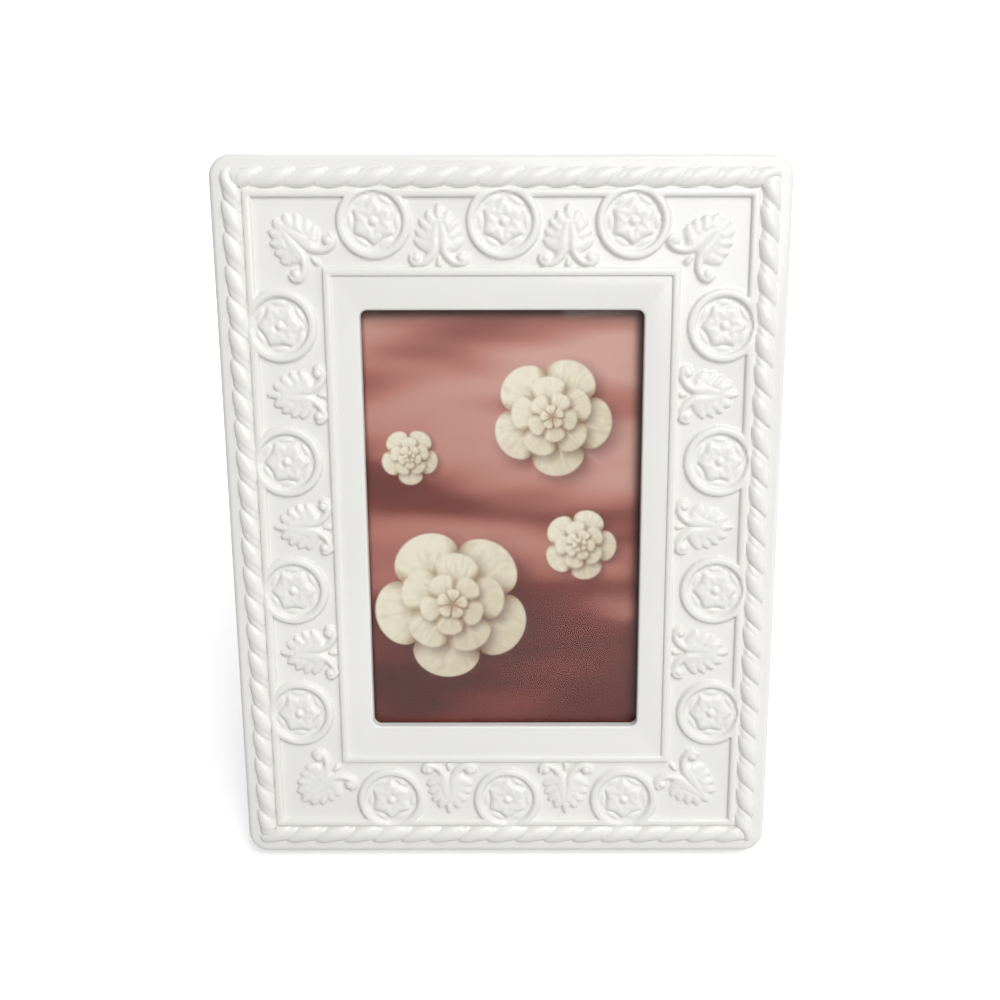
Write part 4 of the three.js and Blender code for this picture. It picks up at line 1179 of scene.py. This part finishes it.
def flower(nodes, ground, across, up, spot, radius, turn):
    """Paints one layer of five round petals over a ground, with a soft shadow under it."""

    def petal_share(shift, softness):
        """How far a point lies inside the petals, and its distance and direction from their middle."""
        right = nodes.math("SUBTRACT", across, spot[0] + shift)
        rise = nodes.math("SUBTRACT", up, spot[1] - shift)
        distance = nodes.math("SQRT", nodes.weigh(right, right, rise, rise))
        angle = nodes.math("ARCTAN2", rise, right)
        wave = nodes.math("ABSOLUTE", nodes.math("COSINE", nodes.math("MULTIPLY_ADD", angle, 2.5, turn)))
        edge = nodes.math("MULTIPLY_ADD", nodes.math("POWER", wave, 0.45), 0.34 * radius, 0.66 * radius)
        reach = nodes.math("SUBTRACT", edge, distance)
        inside = nodes.span(reach, 0.0, 1.0, -softness, softness, smooth=True)
        return inside, right, rise, distance, nodes.math("DIVIDE", distance, edge), wave

    shadow = petal_share(0.1 * radius, 0.25 * radius)[0]
    ground = nodes.blend(nodes.math("MULTIPLY", shadow, 0.7), ground, (0.07, 0.018, 0.016))
    inside, right, rise, distance, share, wave = petal_share(0.0, 0.5)
    heading = nodes.add(
        "CombineXYZ",
        X=nodes.math("DIVIDE", right, distance),
        Y=nodes.math("DIVIDE", rise, distance),
        Z=nodes.math("MULTIPLY", distance, 0.02),
    )
    streak = nodes.span(nodes.noise(9.0, 4.0, 0.65, heading.outputs[0]), 0.8, 1.12, 0.25, 0.75)
    crease = nodes.span(wave, 0.5, 1.0, 0.0, 0.6, smooth=True)
    cup = nodes.span(share, 0.5, 1.0, 0.0, 0.85, smooth=True)
    light = nodes.math("MULTIPLY_ADD", nodes.math("SUBTRACT", rise, right), 0.11 / radius, 0.93)
    shape = nodes.math("MULTIPLY", crease, cup)
    tone = nodes.math("MULTIPLY", shape, nodes.math("MULTIPLY", light, streak))
    stops = [(0.25, (0.16, 0.08, 0.05)), (1.0, (0.65, 0.59, 0.48))]
    stops += [(0.5, (0.37, 0.27, 0.18)), (0.75, (0.52, 0.44, 0.33))]
    return nodes.blend(inside, ground, nodes.ramp(tone, stops))


def picture_material():
    """A soft-focus print of ivory blossoms on dusty rose satin, with the lip's shadow painted along its edges."""
    nodes = Nodes("printed_picture")
    low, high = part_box("photo_print")
    scale = (MM, MM, MM)
    local = nodes.mapped(nodes.coordinates(), scale, (-LEAN, 0.0, 0.0), (low + high) / 2, "TEXTURE")
    place = nodes.split(local)
    across = place["X"]
    up = place["Z"]
    silk = nodes.mapped(local, (0.35, 0.0, 1.25), (0.0, math.radians(-16.0), 0.0))
    drift = nodes.noise(0.026, 2.0, 0.4, silk)
    wave = nodes.math("SINE", nodes.weigh(drift, 13.0, up, 0.03))
    light = nodes.weigh(up, 0.0034, across, 0.0026)
    fold = nodes.math("ADD", nodes.math("MULTIPLY_ADD", wave, 0.27, 0.5), light)
    weave = nodes.span(nodes.noise(2400.0, 2.0), -0.03, 0.03)
    stops = [(0.0, (0.06, 0.013, 0.011)), (1.0, (0.48, 0.27, 0.23))]
    stops += [(0.35, (0.15, 0.036, 0.028)), (0.65, (0.36, 0.138, 0.11))]
    colour = nodes.ramp(nodes.math("ADD", fold, weave), stops)
    for spot, radius, turn in BLOSSOMS:
        for layer, share in enumerate(PETAL_LAYERS):
            layer_turn = turn + layer % 2 * math.pi / 2
            colour = flower(nodes, colour, across, up, spot, share * radius, layer_turn)
    # Painted shadow of the lip: the print darkens towards each edge, most at the top and the right
    edges = ((up, LIP_SHADE_TOP), (across, LIP_SHADE_RIGHT), (up, LIP_SHADE_FOOT), (across, LIP_SHADE_LEFT))
    for side, (pale, dark, most) in edges:
        share = nodes.span(side, 0.0, most, pale, dark, smooth=True)
        colour = nodes.blend(share, colour, (0.04, 0.007, 0.005))
    gloss = nodes.span(nodes.noise(60.0), 0.4, 0.5)
    nodes.set(Base_Color=colour, Roughness=gloss, Specular_IOR_Level=0.2)
    return nodes.material


def card_material():
    """Plain board with short fibres."""
    nodes = Nodes("grey_card")
    fibre = nodes.noise(1400.0, 4.0, 0.7)
    tone = nodes.ramp(fibre, [(0.3, (0.45, 0.39, 0.3)), (0.7, (0.64, 0.57, 0.45))])
    nodes.set(Base_Color=tone, Roughness=nodes.span(fibre, 0.8, 0.95))
    nodes.bump(fibre, 0.2, 0.0002)
    return nodes.material


def fibreboard_material():
    """Pressed fibre: a felt of short dark and pale strands."""
    nodes = Nodes("pressed_fibre")
    felt = nodes.noise(2600.0, 5.0, 0.75)
    tone = nodes.weigh(felt, 0.7, nodes.noise(60.0), 0.3)
    stops = [(0.3, (0.17, 0.095, 0.05)), (0.7, (0.46, 0.32, 0.2)), (0.5, (0.33, 0.21, 0.125))]
    nodes.set(Base_Color=nodes.ramp(tone, stops), Roughness=nodes.span(felt, 0.72, 0.92))
    nodes.bump(felt, 0.35, 0.0003)
    return nodes.material


def velvet_material():
    """Charcoal velvet with a fine pile and brushed patches of nap."""
    nodes = Nodes("charcoal_velvet")
    pile = nodes.noise(5200.0, 2.0, 0.6)
    nap = nodes.noise(26.0, 4.0, 0.6)
    tone = nodes.weigh(pile, 0.55, nap, 0.45)
    colour = nodes.ramp(tone, [(0.32, (0.008, 0.008, 0.01)), (0.68, (0.05, 0.05, 0.058))])
    nodes.set(Base_Color=colour, Roughness=nodes.span(nap, 0.75, 0.95), Specular_IOR_Level=0.15)
    nodes.set(Sheen_Weight=0.8, Sheen_Roughness=0.35, Sheen_Tint=(0.62, 0.62, 0.68, 1.0))
    nodes.bump(pile, 0.6, 0.0004)
    return nodes.material


def metal_material(name, stops, low, high):
    """Plated metal with faint scratches, smudges and a little tarnish."""
    nodes = Nodes(name)
    smudge = nodes.noise(220.0, 4.0, 0.6)
    scratch = nodes.noise(900.0, 3.0, 0.7, nodes.mapped(nodes.coordinates(), (0.25, 4.0, 1.0)))
    wear = nodes.span(nodes.weigh(scratch, 0.5, smudge, 0.5), low, high, 0.3, 0.7)
    nodes.set(Base_Color=nodes.ramp(smudge, stops), Roughness=wear, Metallic=1.0)
    nodes.bump(scratch, 0.08, 0.0001)
    return nodes.material


def ribbon_material():
    """A corded weave: fine ribs across the ribbon and threads along it."""
    nodes = Nodes("woven_ribbon")
    flat = nodes.add("UVMap")
    flat.uv_map = "weave"
    place = nodes.split(flat.outputs[0])
    rib = nodes.math("SINE", nodes.math("MULTIPLY", place["Y"], 2 * math.pi / 0.55))
    thread = nodes.math("SINE", nodes.math("MULTIPLY", place["X"], 2 * math.pi / 0.4))
    tone = nodes.span(nodes.weigh(rib, 0.6, thread, 0.3), 0.0, 1.0, -0.9, 0.9)
    colour = nodes.ramp(tone, [(0.0, (0.012, 0.012, 0.014)), (1.0, (0.075, 0.075, 0.085))])
    nodes.set(Base_Color=colour, Roughness=nodes.span(tone, 0.7, 0.45))
    nodes.set(Sheen_Weight=0.4, Sheen_Roughness=0.4)
    nodes.bump(tone, 0.7, 0.0002)
    return nodes.material


# STAGE


def floor_material():
    """White paper that shows as white, with the frame's shadow deepened by a glow painted dimmer near the frame,
    and throws little light back up.
    """
    nodes = Nodes("floor")
    nodes.tree.nodes.remove(nodes.shader)
    seen = nodes.white_share()
    # The glow is painted dimmer near the origin, where the frame stands: a painted shade round the frame that
    # deepens its shadow
    away = nodes.measure("LENGTH", nodes.coordinates())
    glow_dimmed_near_frame = nodes.span(away, *FLOOR_GLOW, *FLOOR_GLOW_REACH)
    paper = nodes.add("BsdfDiffuse", Color=nodes.span(seen, *FLOOR_SHADES))
    glow = nodes.add("Emission", Strength=nodes.math("MULTIPLY", seen, glow_dimmed_near_frame))
    nodes.surface("AddShader", paper, glow)
    return nodes.material


def world_light():
    """A white backdrop that lights the object softly, most from the right and the front."""
    world = bpy.data.worlds.new("studio")
    bpy.context.scene.world = world
    nodes = Nodes("studio", world)
    facing = nodes.measure("DOT_PRODUCT", nodes.coordinates("Generated"), WORLD_SIDE)
    soft = nodes.span(facing, 0.0, WORLD_STRENGTH, -1.0, 1.0)
    strength = nodes.span(nodes.white_share(), soft, 1.0)
    nodes.fill(nodes.tree.nodes["Background"], Color=(1.0, 1.0, 1.0, 1.0), Strength=strength)


def softbox(towards, distance, width, power):
    """A square lamp that faces the frame's middle."""
    data = bpy.data.lights.new("softbox", "AREA")
    data.energy = power
    data.size = width
    lamp = add_object("softbox", data)
    heading = Vector(towards).normalized()
    lamp.location = FRONT.origin + heading * distance
    lamp.rotation_mode = "QUATERNION"
    lamp.rotation_quaternion = (-heading).to_track_quat("-Z", "Y")


def stage():
    """A pale floor that keeps the object's shadow, and soft light on the front and the back."""
    bpy.context.scene.view_settings.view_transform = "Standard"
    corners = [(x * FLOOR_REACH, y * FLOOR_REACH, 0.0) for x, y in SIGNS]
    floor = add_mesh("floor", corners, [(0, 3, 2, 1)])
    floor.data.materials.append(floor_material())
    world_light()
    for lamp in (FRONT_LAMP, GLINT_LAMP, BACK_LAMP):
        softbox(*lamp)


def camera():
    """The camera stands where the photograph's perspective puts it."""
    turn = Vector(CAMERA_TURN)
    rotation = Matrix.Rotation(turn.length, 3, turn)
    right, down, forward = rotation @ Matrix((FRONT.right, -FRONT.up, FRONT.back))
    offset = Vector(CAMERA_OFFSET) * MM
    data = bpy.data.cameras.new("camera")
    data.lens = LENS_MM
    data.sensor_width = SENSOR_MM
    data.shift_x = LENS_SHIFT
    eye = add_object("camera", data)
    place = Matrix((right, -down, -forward)).transposed().to_4x4()
    place.translation = FRONT.origin - (right * offset.x + down * offset.y + forward * offset.z)
    eye.matrix_world = place
    bpy.context.scene.camera = eye


# THE WHOLE FRAME

camera()
stage()
glaze = glaze_material()
velvet = velvet_material()
brass_stops = [(0.3, (0.5, 0.33, 0.12)), (0.7, (0.78, 0.57, 0.25))]
brass = metal_material("lacquered_brass", brass_stops, 0.16, 0.38)
steel_stops = [(0.3, (0.5, 0.49, 0.47)), (0.7, (0.7, 0.69, 0.66))]
steel = metal_material("nickel_plate", steel_stops, 0.14, 0.34)
carried = {
    "glass": glass_material(),
    "print": picture_material(),
    "card": card_material(),
    "fibreboard": fibreboard_material(),
}
for node, made in frame["nodes"].items():
    if slot_of[node] in carried:
        made.data.materials.clear()
        made.data.materials.append(carried[slot_of[node]])
porcelain(glaze)
back_covers(velvet)
hinge(steel)
board_rivets(brass, steel)
turn_buttons(brass)
stay_ribbon(ribbon_material())
